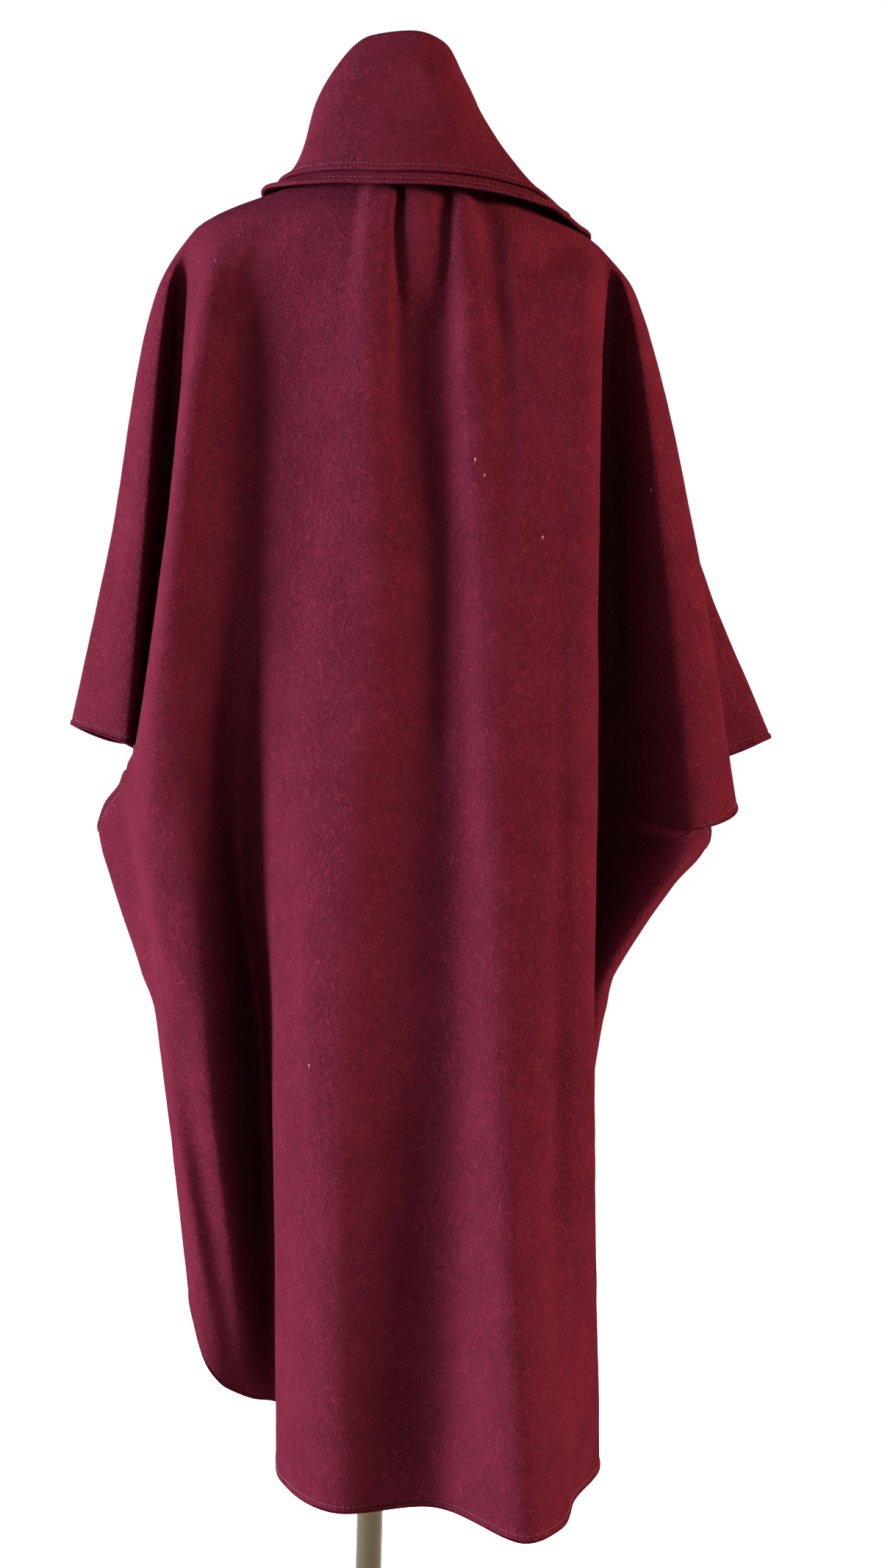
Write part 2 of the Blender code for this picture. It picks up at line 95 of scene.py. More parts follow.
# Fold lines from the left front edge round the back to the right front edge. Each cell
# is across and out in mm at that level, and a third number is a height of its own. The
# first column is the angle at the neck from the middle of the back.
Fold = namedtuple("Fold", "name neck shoulder elbow cuff underarm side hem")
FOLDS = (
    Fold("left_edge", 168, (38, -122), (30, -137), (28, -144), (27, -144), (25, -143),
         (22, -150)),
    Fold("left_chest", 135, (125, -108), (140, -122), (148, -130), (146, -128), (122, -130),
         (95, -148)),
    Fold("left_front", 112, (208, -48), (246, -80), (262, -92, 938), (240, -72, 890),
         (196, -92), (150, -130, 404)),
    Fold("left_arm", 90, (227, -5), (267, -35), (299, -42, 953), (267, -22, 860), (211, -42),
         (180, -98, 414)),
    Fold("left_lobe", 78, (211, 22), (228, 8), (238, 9, 935), (259, 5, 881), (205, 8),
         (171, -76, 380)),
    Fold("left_cleft", 70, (201, 2), (211, -44), (229, -48, 927), (242, 30, 899), (196, 44),
         (160, -70, 352)),
    Fold("left_ridge", 62, (182, 56), (204, 50), (227, 41, 930), (232, 48, 913), (191, 61),
         (146, -76, 332)),
    Fold("left_crest", 48, (164, 105), (185, 121), (197, 113), (199, 106), (176, 81),
         (131, -86, 321)),
    Fold("left_flank", 39, (146, 101), (155, 107), (161, 104), (156, 103), (149, 90),
         (117, -97, 313)),
    Fold("left_valley", 30, (127, 92), (128, 88), (131, 64), (132, 46), (114, -14),
         (94, -110, 306)),
    Fold("mid_edge", 20, (87, 103), (84, 107), (92, 107), (91, 109), (81, 122), (77, 82)),
    Fold("mid_crest", 8, (28, 120), (14, 134), (28, 144), (36, 149), (38, 158), (25, 161)),
    Fold("mid_valley", -11, (-34, 111), (-50, 117), (-57, 129), (-60, 132), (-62, 141),
         (-57, 141)),
    Fold("right_crest", -30, (-60, 121), (-77, 134), (-87, 148), (-93, 157), (-101, 170),
         (-131, 220)),
    Fold("right_turn", -40, (-85, 118), (-104, 132), (-111, 145), (-115, 153), (-122, 167),
         (-163, 184)),
    Fold("right_crease", -48, (-108, 113), (-128, 126), (-132, 137), (-135, 145), (-142, 154),
         (-178, 116)),
    Fold("right_edge", -59, (-168, 98), (-172, 110), (-175, 119), (-177, 124), (-181, 134),
         (-206, 36, 301)),
    Fold("right_valley", -68, (-189, 24), (-187, -42), (-193, -50, 905), (-190, -44, 868),
         (-170, -24), (-190, -30, 312)),
    Fold("right_crest_in", -75, (-203, 38), (-238, 54), (-266, 74, 872), (-262, 54, 867),
         (-184, -8), (-188, -48, 325)),
    Fold("right_crest_out", -80, (-212, 18), (-271, 32), (-312, 48, 889), (-283, 52, 881),
         (-195, -5), (-186, -62, 340)),
    Fold("right_cleft", -85, (-216, 3), (-260, 2), (-286, -4, 925), (-292, 26, 873),
         (-200, -20), (-183, -76, 360)),
    Fold("right_arm", -90, (-217, -12), (-279, -28), (-352, -30, 957), (-291, -8, 857),
         (-201, -36), (-178, -90, 385)),
    Fold("right_front", -112, (-202, -50), (-255, -74), (-300, -90, 935), (-264, -62, 872),
         (-203, -80), (-148, -118, 398)),
    Fold("right_chest", -135, (-123, -108), (-140, -124), (-150, -134), (-146, -130),
         (-120, -132), (-92, -138)),
    Fold("right_edge_front", -168, (-38, -122), (-30, -137), (-28, -144), (-27, -144),
         (-25, -143), (-22, -146)),
)
LINE = {fold.name: number for number, fold in enumerate(FOLDS)}
NECK_ANGLES = [fold.neck for fold in FOLDS]

# The lines that end at a cuff, and how far the two cuff openings reach along the cloth
SLEEVE_LINES = ("left_front", "left_arm", "left_lobe", "left_cleft",
                "right_crest_out", "right_cleft", "right_arm", "right_front")
LEFT_CUFF = (LINE["left_chest"] + 0.5, LINE["left_ridge"])
RIGHT_CUFF = (LINE["right_crest_in"], LINE["right_front"] + 0.5)

# Pleats under the collar, as the lines of their crests, lips and gaps from the left to
# the right. Each cell is across and rise in mm at that distance down from the neck seam.
PLEAT_DOWNS = (0, 38, 60, 140, 230, 380)
PleatLine = namedtuple("PleatLine", "name start edge top high middle low")
PLEAT_LINES = (
    PleatLine("left_foot", (36, 0), (36, 0), (38, 0), (47, 0), (58, 0), (66, 0)),
    PleatLine("left_top", (22, 0), (25, 12), (26, 12.5), (24, 9), (19, 5), (12, 0)),
    PleatLine("left_lip", (8, 0), (8, 12), (9, 12), (7, 8), (3, 3), (-4, 0)),
    PleatLine("gap", (1, 0), (1, 0), (2, 0), (-2, -1), (-8, -1), (-14, 0)),
    PleatLine("middle_lip", (-5, 0), (-6, 8.5), (-7, 8.5), (-12, 2), (-18, 0), (-24, 0)),
    PleatLine("middle_top", (-20, 0), (-22, 9.5), (-24, 9), (-29, 1.5), (-32, 0), (-35, 0)),
    PleatLine("middle_foot", (-37, 0), (-39, 0), (-40, 0), (-42, 0), (-45, 0), (-48, 0)),
    PleatLine("right_start", (-42, 0), (-43, 2), (-43, 3), (-46, 2), (-50, 1), (-54, 0)),
    PleatLine("right_top", (-50, 0), (-51, 12), (-52, 12), (-58, 8), (-64, 4), (-70, 0)),
    PleatLine("right_lip", (-58, 0), (-59, 10), (-62, 9), (-70, 5), (-78, 3), (-86, 0)),
    PleatLine("right_gap", (-66, 0), (-67, 0), (-74, 0), (-86, -1), (-96, -1), (-102, 0)),
    PleatLine("far_top", (-94, 0), (-94, 6), (-97, 6), (-103, 4), (-110, 2), (-116, 0)),
    PleatLine("far_foot", (-124, 0), (-124, 0), (-128, 0), (-136, 0), (-144, 0), (-150, 0)),
)

# Soft creases pressed into the drape: the side they lie on, their height in mm,
# negative for a trough, their half-widths on the low and the high side of their line,
# and the line itself, as across and height in mm from the top down
Crease = namedtuple("Crease", "name side rise low_width high_width path")
CREASES = (
    Crease("shoulder_ridge", "back", 1.8, 26, 18,
           ((96, 1382), (122, 1340), (156, 1285), (172, 1215))),
    Crease("groove_lip", "back", -2.4, 18, 20,
           ((84, 860), (80, 780), (76, 700), (72, 640), (68, 560))),
    Crease("middle_lift", "back", 1.4, 20, 26, ((44, 1180), (52, 1060), (62, 940), (60, 820))),
    Crease("middle_trough", "back", -3.0, 12, 26,
           ((-36, 1260), (-42, 1140), (-46, 1020), (-50, 880))),
    Crease("right_small_ridge", "back", 2.0, 12, 14,
           ((-130, 1060), (-135, 900), (-138, 690), (-141, 500), (-147, 350))),
    Crease("right_crease", "back", -1.8, 12, 10,
           ((-138, 1250), (-146, 1130), (-150, 950), (-152, 740))),
    Crease("right_low_crease", "back", -1.8, 12, 12,
           ((-151, 760), (-153, 640), (-156, 480), (-162, 350))),
    Crease("low_ridge", "back", 1.2, 18, 24, ((36, 640), (34, 560), (30, 460), (28, 350))),
    Crease("left_side_trough", "back", -1.6, 24, 16,
           ((172, 1180), (182, 1060), (188, 950), (180, 840))),
    Crease("left_low_ridge", "back", 1.6, 18, 24,
           ((142, 800), (132, 680), (124, 560), (118, 440))),
    Crease("left_front_fold", "front", 3.4, 22, 18,
           ((122, 1260), (112, 1120), (100, 900), (88, 640), (78, 460))),
    Crease("left_front_trough", "front", -3.0, 18, 22,
           ((86, 1200), (76, 1000), (66, 800), (56, 560), (52, 460))),
    Crease("left_front_ridge", "front", 2.2, 14, 18,
           ((52, 1120), (46, 900), (42, 700), (38, 500))),
    Crease("right_front_fold", "front", 3.2, 18, 24,
           ((-118, 1270), (-110, 1080), (-96, 860), (-82, 620), (-74, 450))),
    Crease("right_front_trough", "front", -2.8, 20, 18,
           ((-90, 1180), (-80, 980), (-66, 760), (-58, 540), (-52, 460))),
    Crease("right_front_ridge", "front", 2.0, 16, 14,
           ((-54, 1100), (-46, 880), (-40, 660), (-38, 500))),
    Crease("left_sleeve_fold", "left", 2.6, 18, 22,
           ((-30, 1290), (-46, 1190), (-56, 1080), (-62, 985))),
    Crease("left_sleeve_trough", "left", -2.4, 20, 16,
           ((2, 1270), (-12, 1160), (-18, 1060), (-22, 980))),
    Crease("right_sleeve_fold", "right", 2.6, 18, 20,
           ((-36, 1290), (-52, 1180), (-62, 1080), (-68, 990))),
    Crease("right_sleeve_trough", "right", -2.2, 16, 20,
           ((-6, 1280), (-12, 1160), (-14, 1060), (-12, 975))),
    Crease("left_side_round", "left", 4.0, 60, 60,
           ((-12, 870), (-14, 840), (-18, 780), (-26, 690))),
    Crease("right_side_draw", "right", -5.0, 60, 60,
           ((-18, 850), (-22, 800), (-28, 750), (-32, 700))),
    Crease("left_skirt_fold", "left", 2.6, 20, 18,
           ((-20, 840), (-40, 720), (-62, 600), (-84, 470))),
    Crease("right_skirt_fold", "right", 2.4, 20, 18,
           ((-14, 830), (-34, 720), (-56, 600), (-76, 460))),
)
COLLAR_CREASES = (
    Crease("fall_fold", "back", 5.0, 30, 7, ((40, 1528), (50, 1510), (66, 1485), (92, 1445))),
    Crease("fall_soft_fold", "back", 1.6, 14, 16,
           ((-14, 1548), (-22, 1520), (-36, 1488), (-52, 1455))),
)

# The axis that runs across each side, and which way the side faces
SIDES = {"back": (0, 1), "front": (0, -1), "left": (1, 1), "right": (1, -1)}

# A crease fades over this share of its length at both ends, and over this much of a
# normal's turn away from its side
CREASE_FADE = 0.22
CREASE_TURN = 0.5

# Slow waves of soft cloth, in waves to a metre at two sizes, and the finer one's share
WAVES_BROAD = 11
WAVES_FINE = 43
WAVES_FINE_SHARE = 0.45

# Collar stations round the neck, from the left front to the right front: angle from
# the middle of the back, the roll line's place in mm, how far down the coat the lower
# edge lies, how far it stands off the coat, and how much of the under collar shows
Station = namedtuple("Station", "angle across out height edge_down stand_off shows")
COLLAR = (
    Station(160, 44, -104, 1416, 120, 10, 10),
    Station(138, 68, -86, 1430, 70, 9, 9),
    Station(112, 78, -46, 1452, 18, 7, 6),
    Station(88, 84, -14, 1474, 15, 8, 7),
    Station(64, 77, 12, 1512, 14, 9, 10),
    Station(38, 57, 32, 1547, 18, 13, 12),
    Station(16, 31, 42, 1569, 20, 17, 12),
    Station(-4, -5, 44, 1574, 20, 18, 12),
    Station(-24, -30, 40, 1567, 24, 19, 13),
    Station(-44, -47, 28, 1541, 31, 17, 15),
    Station(-66, -67, 8, 1503, 37, 6, 14),
    Station(-88, -84, -14, 1461, 35, 5, 13),
    Station(-112, -83, -46, 1446, 40, 5, 9),
    Station(-138, -70, -86, 1428, 80, 9, 9),
    Station(-160, -44, -104, 1416, 120, 10, 10),
)

# The upper collar: gap over the neck seam, how much the stand's curve is pulled upright,
# radius and pull of the roll, how much closer the fall lies to the back than to the
# sides, and its mesh rows
COLLAR_SEAM_GAP = 0.0005
STAND_PULL = 0.3
ROLL_RADIUS = 0.007
ROLL_PULL = 1.1
FALL_HUGS = 1.2
STAND_ROWS = 20
ROLL_ROWS = 10

# The under collar: how far below the neck seam and off the coat it starts, and how much
# deeper than the upper one's fall it lies
UNDER_SEAM_DOWN = 0.005
UNDER_SEAM_GAP = 0.0011
UNDER_DEEPER = 0.0023

# How far down the coat the collars may lie, in this many rows, how much closer the fold
# lines are at the neck than at their widest, and the least angle in degrees between two
# sections at the collar's ends
COLLAR_REACH = 0.150
COLLAR_BED_ROWS = 40
NECK_CLOSER = 3
LEAST_TURN = 1

# Dress form: the gap between it and the cloth, the height above which its neck is
# straight, the ring at the neck's base as a share of the neck seam's and how far above
# it, and the rings below the shoulders in mm
FORM_CLEARANCE = 0.0014
NECK_STRAIGHT_FROM = 1.457
NECK_BASE_SHARE = 0.72
NECK_BASE_RISE = 0.006
FormRing = namedtuple("FormRing", "height side back front")
FORM_RINGS = (
    FormRing(1300, 158, 104, 98),
    FormRing(1220, 140, 98, 104),
    FormRing(1130, 128, 88, 96),
    FormRing(1040, 112, 76, 80),
    FormRing(960, 117, 80, 78),
    FormRing(890, 127, 88, 80),
    FormRing(868, 126, 88, 79),
)

# The form's shoulders follow the coat, in rows this far apart and down to this far from
# the neck seam, and have rings at these distances. The torso's mesh rows are at most
# this far apart.
SHOULDER_STEP_MM = 2
SHOULDER_REACH_MM = 60
SHOULDER_RINGS_MM = (0, 12, 28, 46)
TORSO_STEP = 0.008

# Points round a turned rim, how many rim radii in from it the flat faces' rings lie, and
# how many a turned piece's height holds at least
RIM_POINTS = 5
RIM_RADII_IN = 4
RIM_RADII_HIGH = 3

# Flat cuts of the cloth pieces: width and length in metres, and area in square metres
Cut = namedtuple("Cut", "width length area")

# Mesh rows closer together beside an edge, in mm from the edge, which of them the
# stitching lies on, and the steps round the edge itself
EDGE_STEPS = np.array((0, 1.6, 3.0, 4.2, 5.2, 6.0, 6.8, 8.0, 10.0, 13.0)) * MM
STITCH_STEP_ROW = 5
RIM_STEPS = 6

# A turned edge is full up to this share of the stitching's inset and then eases off,
# and the stitching pulls in a groove
EDGE_FULL_SHARE = 0.8
EDGE_SOFTNESS = 0.0022
GROOVE_HALF_WIDTH = 0.0017

# Distances from the neck seam over which the waves, creases and thicker edges come in
COAT_CALM = 0.035
COLLAR_CALM = 0.03
COLLAR_EDGE_CALM = 0.02

# One stitch: its rings and sides, its rise in thread radii, and its ends' share of the
# thread's thickness. Stitching stops this many sections short of a collar's ends.
STITCH_RINGS = 5
STITCH_SIDES = 6
STITCH_RISE = 2.4
STITCH_END = 0.35
STITCH_STOPS = 2


# ---- Sizes and colours --------------------------------------------------------------

def linear(hex_colour):
    """Linear RGB of an sRGB hex value."""
    shares = [int(hex_colour[i:i + 2], 16) / 255 for i in (1, 3, 5)]
    return tuple(s / 12.92 if s <= 0.04045 else ((s + 0.055) / 1.055) ** 2.4 for s in shares)


def length(name, description, default):
    """A size in metres that a user can change."""
    return FloatProperty(name=name, description=description, default=default, unit="LENGTH",
                         precision=4)


def colour(name, description, default):
    """A colour that a user can change, from its sRGB hex value."""
    return FloatVectorProperty(name=name, description=description, default=linear(default),
                               subtype="COLOR", size=3, min=0, max=1)


class CapeCoatSettings(PropertyGroup):
    """Sizes and colours of the coat."""

    wall: length("Cloth thickness", "Thickness of one layer of the coating", 0.0026)
    edge_wall: length("Edge thickness", "Thickness of the turned edges", 0.0040)
    panel_spacing: length("Panel spacing", "Distance between the panels' mesh lines", 0.0056)
    collar_spacing: length("Collar spacing", "Distance between the collars' mesh lines", 0.0034)
    seam_gap: length("Seam gap", "Gap that parts two panels at a seam", 0.00032)
    stitch_inset: length("Stitch inset", "Distance of the topstitching from an edge", 0.0060)
    stitch_length: length("Stitch length", "Length of one stitch", 0.0030)
    stitch_step: length("Stitch step", "Distance from one stitch to the next", 0.0040)
    thread: length("Thread thickness", "Thickness of the sewing thread", 0.0005)
    groove: length("Groove depth", "How deep the topstitching pulls the cloth in", 0.0006)
    unevenness: length("Unevenness", "Height of the cloth's slow surface waves", 0.0007)
    wool: colour("Wool", "Colour of the napped face", "#471420")
    # Deep wool: partly the lower fibres' own darker tone, partly painted shade between the
    # raised fibres
    wool_deep_and_shade: colour("Deep wool", "Colour between the raised fibres", "#330C15")
    lint: colour("Lint", "Colour of the stray pale fibres", "#C08A86")
    thread_colour: colour("Thread", "Colour of the sewing thread", "#3C111C")


class DressFormSettings(PropertyGroup):
    """Sizes and colours of the dress form."""

    torso_columns: IntProperty(name="Torso columns", default=120, min=24,
                               description="Mesh columns round the torso")
    round_sides: IntProperty(name="Round sides", default=96, min=24,
                             description="Sides of the turned metal pieces")
    edge: length("Eased edge", "Radius of the turned pieces' rims", 0.0012)
    linen: colour("Linen", "Colour of the cover's weft", "#CDBFA6")
    linen_warp: colour("Linen warp", "Colour of the cover's warp", "#B7A88D")
    metal: colour("Satin metal", "Colour of the stand", "#3C3728")


class StudioSettings(PropertyGroup):
    """Light and floor of the plain studio."""

    floor: colour("Floor", "Colour of the floor", "#DCDBD8")
    floor_size: length("Floor size", "Radius of the floor", 4.8)
    sky: colour("Surround", "Colour of the light all round", "#F4F4F6")
    sky_strength: FloatProperty(name="Surround strength", default=0.27, min=0,
                                description="Strength of the light on the dark side")
    backdrop_strength: FloatProperty(name="Backdrop strength", default=1.12, min=0,
                                     description="Strength of the light on the bright side")
    key: colour("Key light", "Colour of the cool light from the left", "#EEF3FF")
    key_power: FloatProperty(name="Key power", default=880, min=0, unit="POWER",
                             description="Power of the cool light")
    warm: colour("Warm light", "Colour of the warm light from the right", "#FFD2B6")
    warm_power: FloatProperty(name="Warm power", default=390, min=0, unit="POWER",
                              description="Power of the warm light")
    distance: length("Camera distance", "Distance of the camera behind the form's axis", 1.9)


# ---- Smooth paths -------------------------------------------------------------------

def path_slopes(stations, values):
    """Slopes of a smooth path through the values that never overshoots them."""
    rises = np.diff(values, axis=0) / np.diff(stations)[:, None]
    before, after = rises[:-1], rises[1:]
    same_way = before * after > 0
    total = np.where(same_way, before + after, 1.0)
    inner = np.where(same_way, 2 * before * after / total, 0.0)
    return np.vstack([rises[:1], inner, rises[-1:]])


def hermite(start, out_of, end, into, t):
    """Cubic from start to end with these slopes at its ends."""
    return (start * (2 * t**3 - 3 * t**2 + 1) + out_of * (t**3 - 2 * t**2 + t)
            + end * (3 * t**2 - 2 * t**3) + into * (t**3 - t**2))


def on_path(stations, values, at):
    """The smooth path's points at these places along it."""
    slopes = path_slopes(stations, values)
    at = np.atleast_1d(np.asarray(at, float))
    i = np.clip(np.searchsorted(stations, at, side="right") - 1, 0, len(stations) - 2)
    step = (stations[i + 1] - stations[i])[:, None]
    t = (at - stations[i])[:, None] / step
    return hermite(values[i], slopes[i] * step, values[i + 1], slopes[i + 1] * step, t)


def across_curve(knots, at):
    """A rounded curve through the knots, at these fractional knot numbers."""
    first, last = 2 * knots[0] - knots[1], 2 * knots[-1] - knots[-2]
    padded = np.vstack([first, knots, last])
    at = np.asarray(at, float)
    i = np.clip(np.floor(at).astype(int), 0, len(knots) - 2)
    t = (at - i)[:, None]
    p0, p1, p2, p3 = (padded[i + k] for k in range(4))
    d0, d1, d2 = (np.sqrt(np.linalg.norm(b - a, axis=1))[:, None] + TINY
                  for a, b in ((p0, p1), (p1, p2), (p2, p3)))
    out_of = d1 * ((p1 - p0) / d0 - (p2 - p0) / (d0 + d1) + (p2 - p1) / d1)
    into = d1 * ((p2 - p1) / d1 - (p3 - p1) / (d1 + d2) + (p3 - p2) / d2)
    return hermite(p1, out_of, p2, into, t)


def bump(distance, half_width):
    """A rounded bump, 1 in its middle and 0 beyond its half-width."""
    return np.clip(1 - (distance / half_width) ** 2, 0, None) ** 2


def ease(share):
    """0 to 1 with level ends."""
    share = np.clip(share, 0, 1)
    return share * share * (3 - 2 * share)


def unit(vectors):
    """The vectors' directions."""
    lengths = np.linalg.norm(vectors, axis=-1, keepdims=True)
    return vectors / np.maximum(lengths, LEAST_LENGTH)


# ---- The cloth's surface ------------------------------------------------------------

def level_height(level, across, out):
    """Height in mm of a level in the direction of this point."""
    sideways = across**2 / (across**2 + out**2)
    side = level.left if across > 0 else level.right
    end = level.back if out > 0 else level.front
    return side * sideways + end * (1 - sideways)


def cell_point(level, cell):
    """The point that one cell of the fold table stands for."""
    across, out = cell[:2]
    height = cell[2] if len(cell) > 2 else level_height(level, across, out)
    return np.array((across, out, height)) * MM


def ring_point(level, angle, oval):
    """A point of an oval ring at this angle in degrees from the middle of the back."""
    across = sin(radians(angle))
    out = cos(radians(angle))
    across *= oval.left if across > 0 else oval.right
    out *= oval.back if out > 0 else oval.front
    return np.array((across, out, level_height(level, across, out) * MM))


def fold_points(fold):
    """The line's points at the eight levels."""
    neck = ring_point(LEVELS[NECK], fold.neck, NECK_OVAL)
    yoke = ring_point(LEVELS[YOKE], fold.neck, YOKE_OVAL)
    cells = (fold.shoulder, fold.elbow, fold.cuff, fold.underarm, fold.side, fold.hem)
    lower = [cell_point(level, cell) for level, cell in zip(LEVELS[SHOULDER:], cells)]
    return np.array([neck, yoke] + lower)


LEVEL_DOWN = np.array([level.down for level in LEVELS]) * MM
CUFF_DOWN = LEVEL_DOWN[CUFF]
UNDERARM_DOWN = LEVEL_DOWN[UNDERARM]
HEM_DOWN = LEVEL_DOWN[HEM]
FOLD_POINTS = [fold_points(fold) for fold in FOLDS]


def knots_at(down):
    """Where every fold line is, this far down the cloth. A sleeve's lines break at the
    cuff, so that the sleeve and the side under it are each smooth."""
    upper = down <= (CUFF_DOWN + UNDERARM_DOWN) / 2
    found = []
    for fold, points in zip(FOLDS, FOLD_POINTS):
        part = slice(None)
        if fold.name in SLEEVE_LINES:
            part = slice(0, UNDERARM) if upper else slice(UNDERARM, None)
        found.append(on_path(LEVEL_DOWN[part], points[part], down)[0])
    return np.array(found)


def pleat_rise(across, down):
    """How far the pleats lift the back, this far down from the neck seam."""
    if down >= PLEAT_DOWNS[-1] * MM:
        return np.zeros_like(across)
    downs = np.array(PLEAT_DOWNS, float) * MM
    knots = np.array([on_path(downs, np.array(line[1:], float) * MM, down)[0]
                      for line in reversed(PLEAT_LINES)])
    inside = np.clip(across, knots[0, 0], knots[-1, 0])
    return on_path(knots[:, 0], knots[:, 1:], inside)[:, 0]


def cloth_row(down, lines, pleated=True):
    """The outer face's points this far down, at these fractional line numbers."""
    row = across_curve(knots_at(down), lines)
    if pleated:
        row[:, 1] += np.where(row[:, 1] > 0, pleat_rise(row[:, 0], down), 0)
    return row


def cloth_grid(downs, lines, pleated=True):
    """The outer face's points at all these distances down and line numbers."""
    return np.array([cloth_row(down, lines, pleated) for down in downs])


def outward(grid):
    """Unit normals of a grid of points, away from the form."""
    return unit(np.cross(np.gradient(grid, axis=0), np.gradient(grid, axis=1)))


def line_numbers(spacing):
    """Line numbers of a mesh's columns, about the spacing apart where they lie widest."""
    points = np.array(FOLD_POINTS)
    widest = np.linalg.norm(np.diff(points, axis=0), axis=2).max(axis=1)
    found = [0.0]
    for line, width in enumerate(widest):
        pieces = 2 * max(1, round(width / spacing / 2))
        found += list(line + np.arange(1, pieces + 1) / pieces)
    return np.array(found)


def spaced(start, end, spacing):
    """Evenly spaced places from start to end, about the spacing apart."""
    return np.linspace(start, end, max(2, round((end - start) / spacing) + 1))


def spaced_to_edges(start, end, spacing):
    """Places from start to end, the spacing apart, and closer beside both ends."""
    places = spaced(start + EDGE_STEPS[-1], end - EDGE_STEPS[-1], spacing)
    return np.concatenate([start + EDGE_STEPS[:-1], places, end - EDGE_STEPS[-2::-1]])


def crease_rise(creases, points, normals):
    """How far the listed creases lift the cloth at each point."""
    rise = np.zeros(points.shape[:-1])
    for crease in creases:
        axis, way = SIDES[crease.side]
        path = np.array(crease.path[::-1], float) * MM
        low, high = path[0, 1], path[-1, 1]
        height = points[..., 2]
        line = on_path(path[:, 1], path[:, :1], np.clip(height, low, high).ravel())
        aside = points[..., axis] - line.reshape(height.shape)
        width = np.where(aside < 0, crease.low_width, crease.high_width) * MM
        along = (height - low) / (high - low)
        faded = ease(along / CREASE_FADE) * ease((1 - along) / CREASE_FADE)
        facing = ease(normals[..., 1 - axis] * way / CREASE_TURN)
        rise += crease.rise * MM * bump(aside, width) * faded * facing
    return rise


def slow_waves(points, height):
    """Slight unevenness of soft, heavy cloth, at two sizes."""
    found = [noise.noise(Vector(point * WAVES_BROAD))
             + WAVES_FINE_SHARE * noise.noise(Vector(point * WAVES_FINE))
             for point in points.reshape(-1, 3)]
    return np.array(found).reshape(points.shape[:-1]) * height


def travelled(grid, axis):
    """Distance along the grid's lines from their first point."""
    steps = np.linalg.norm(np.diff(grid, axis=axis), axis=2)
    start = np.zeros_like(np.take(steps, [0], axis=axis))
    return np.concatenate([start, np.cumsum(steps, axis=axis)], axis=axis)


def edge_shape(distance, settings):
    """How much a turned and stitched edge adds to the thickness at this distance from
    it: a fuller edge, and a groove along the stitching."""
    inset = settings.stitch_inset
    fuller = settings.edge_wall - settings.wall
    raised = fuller * (1 - ease((distance - inset * EDGE_FULL_SHARE) / EDGE_SOFTNESS))
    pulled = 2 * settings.groove * bump(distance - inset, GROOVE_HALF_WIDTH)
    return raised - pulled


def strongest(first, second):
    """Whichever of two edge shapes departs further from plain cloth."""
    return np.where(np.abs(second) > np.abs(first), second, first)


def open_edges(down, along, settings):
    """What the turned edges along a piece's last row and both its ends add to the wall."""
    added = edge_shape(down[-1:] - down, settings)
    for distance in (along, along[:, -1:] - along):
        added = strongest(added, edge_shape(distance, settings))
    return added


# ---- Making solids ------------------------------------------------------------------

def add_object(name, mesh, finish):
    """A new object in the scene with this mesh and finish."""
    made = bpy.data.objects.new(name, mesh)
    mesh.materials.append(finish)
    bpy.context.scene.collection.objects.link(made)
    return made


def mesh_from(name, points, faces):
    """A smooth-shaded mesh of these points and faces."""
    mesh = bpy.data.meshes.new(name)
    mesh.from_pydata(np.asarray(points, float).tolist(), [], [list(map(int, f)) for f in faces])
    mesh.update()
    mesh.shade_smooth()
    return mesh


def rim_of(quads, middle, normals):
    """The free edges of a grid's faces, and which way the free edge faces at each of
    its points."""
    directed = np.concatenate([np.stack([quads[:, i], quads[:, (i + 1) % 4]], axis=1)
                               for i in range(4)])
    centres = np.tile(middle[quads].mean(axis=1), (4, 1))
    count = len(middle)
    forward = directed[:, 0] * count + directed[:, 1]
    backward = directed[:, 1] * count + directed[:, 0]
    free = ~np.isin(forward, backward)
    edges = directed[free]
    along = unit(middle[edges[:, 1]] - middle[edges[:, 0]])
    away = middle[edges].mean(axis=1) - centres[free]
    away = unit(away - along * (away * along).sum(axis=1, keepdims=True))
    total = np.zeros_like(middle)
    for end in (0, 1):
        np.add.at(total, edges[:, end], away)
    total -= normals * (total * normals).sum(axis=1, keepdims=True)
    return edges, unit(total)


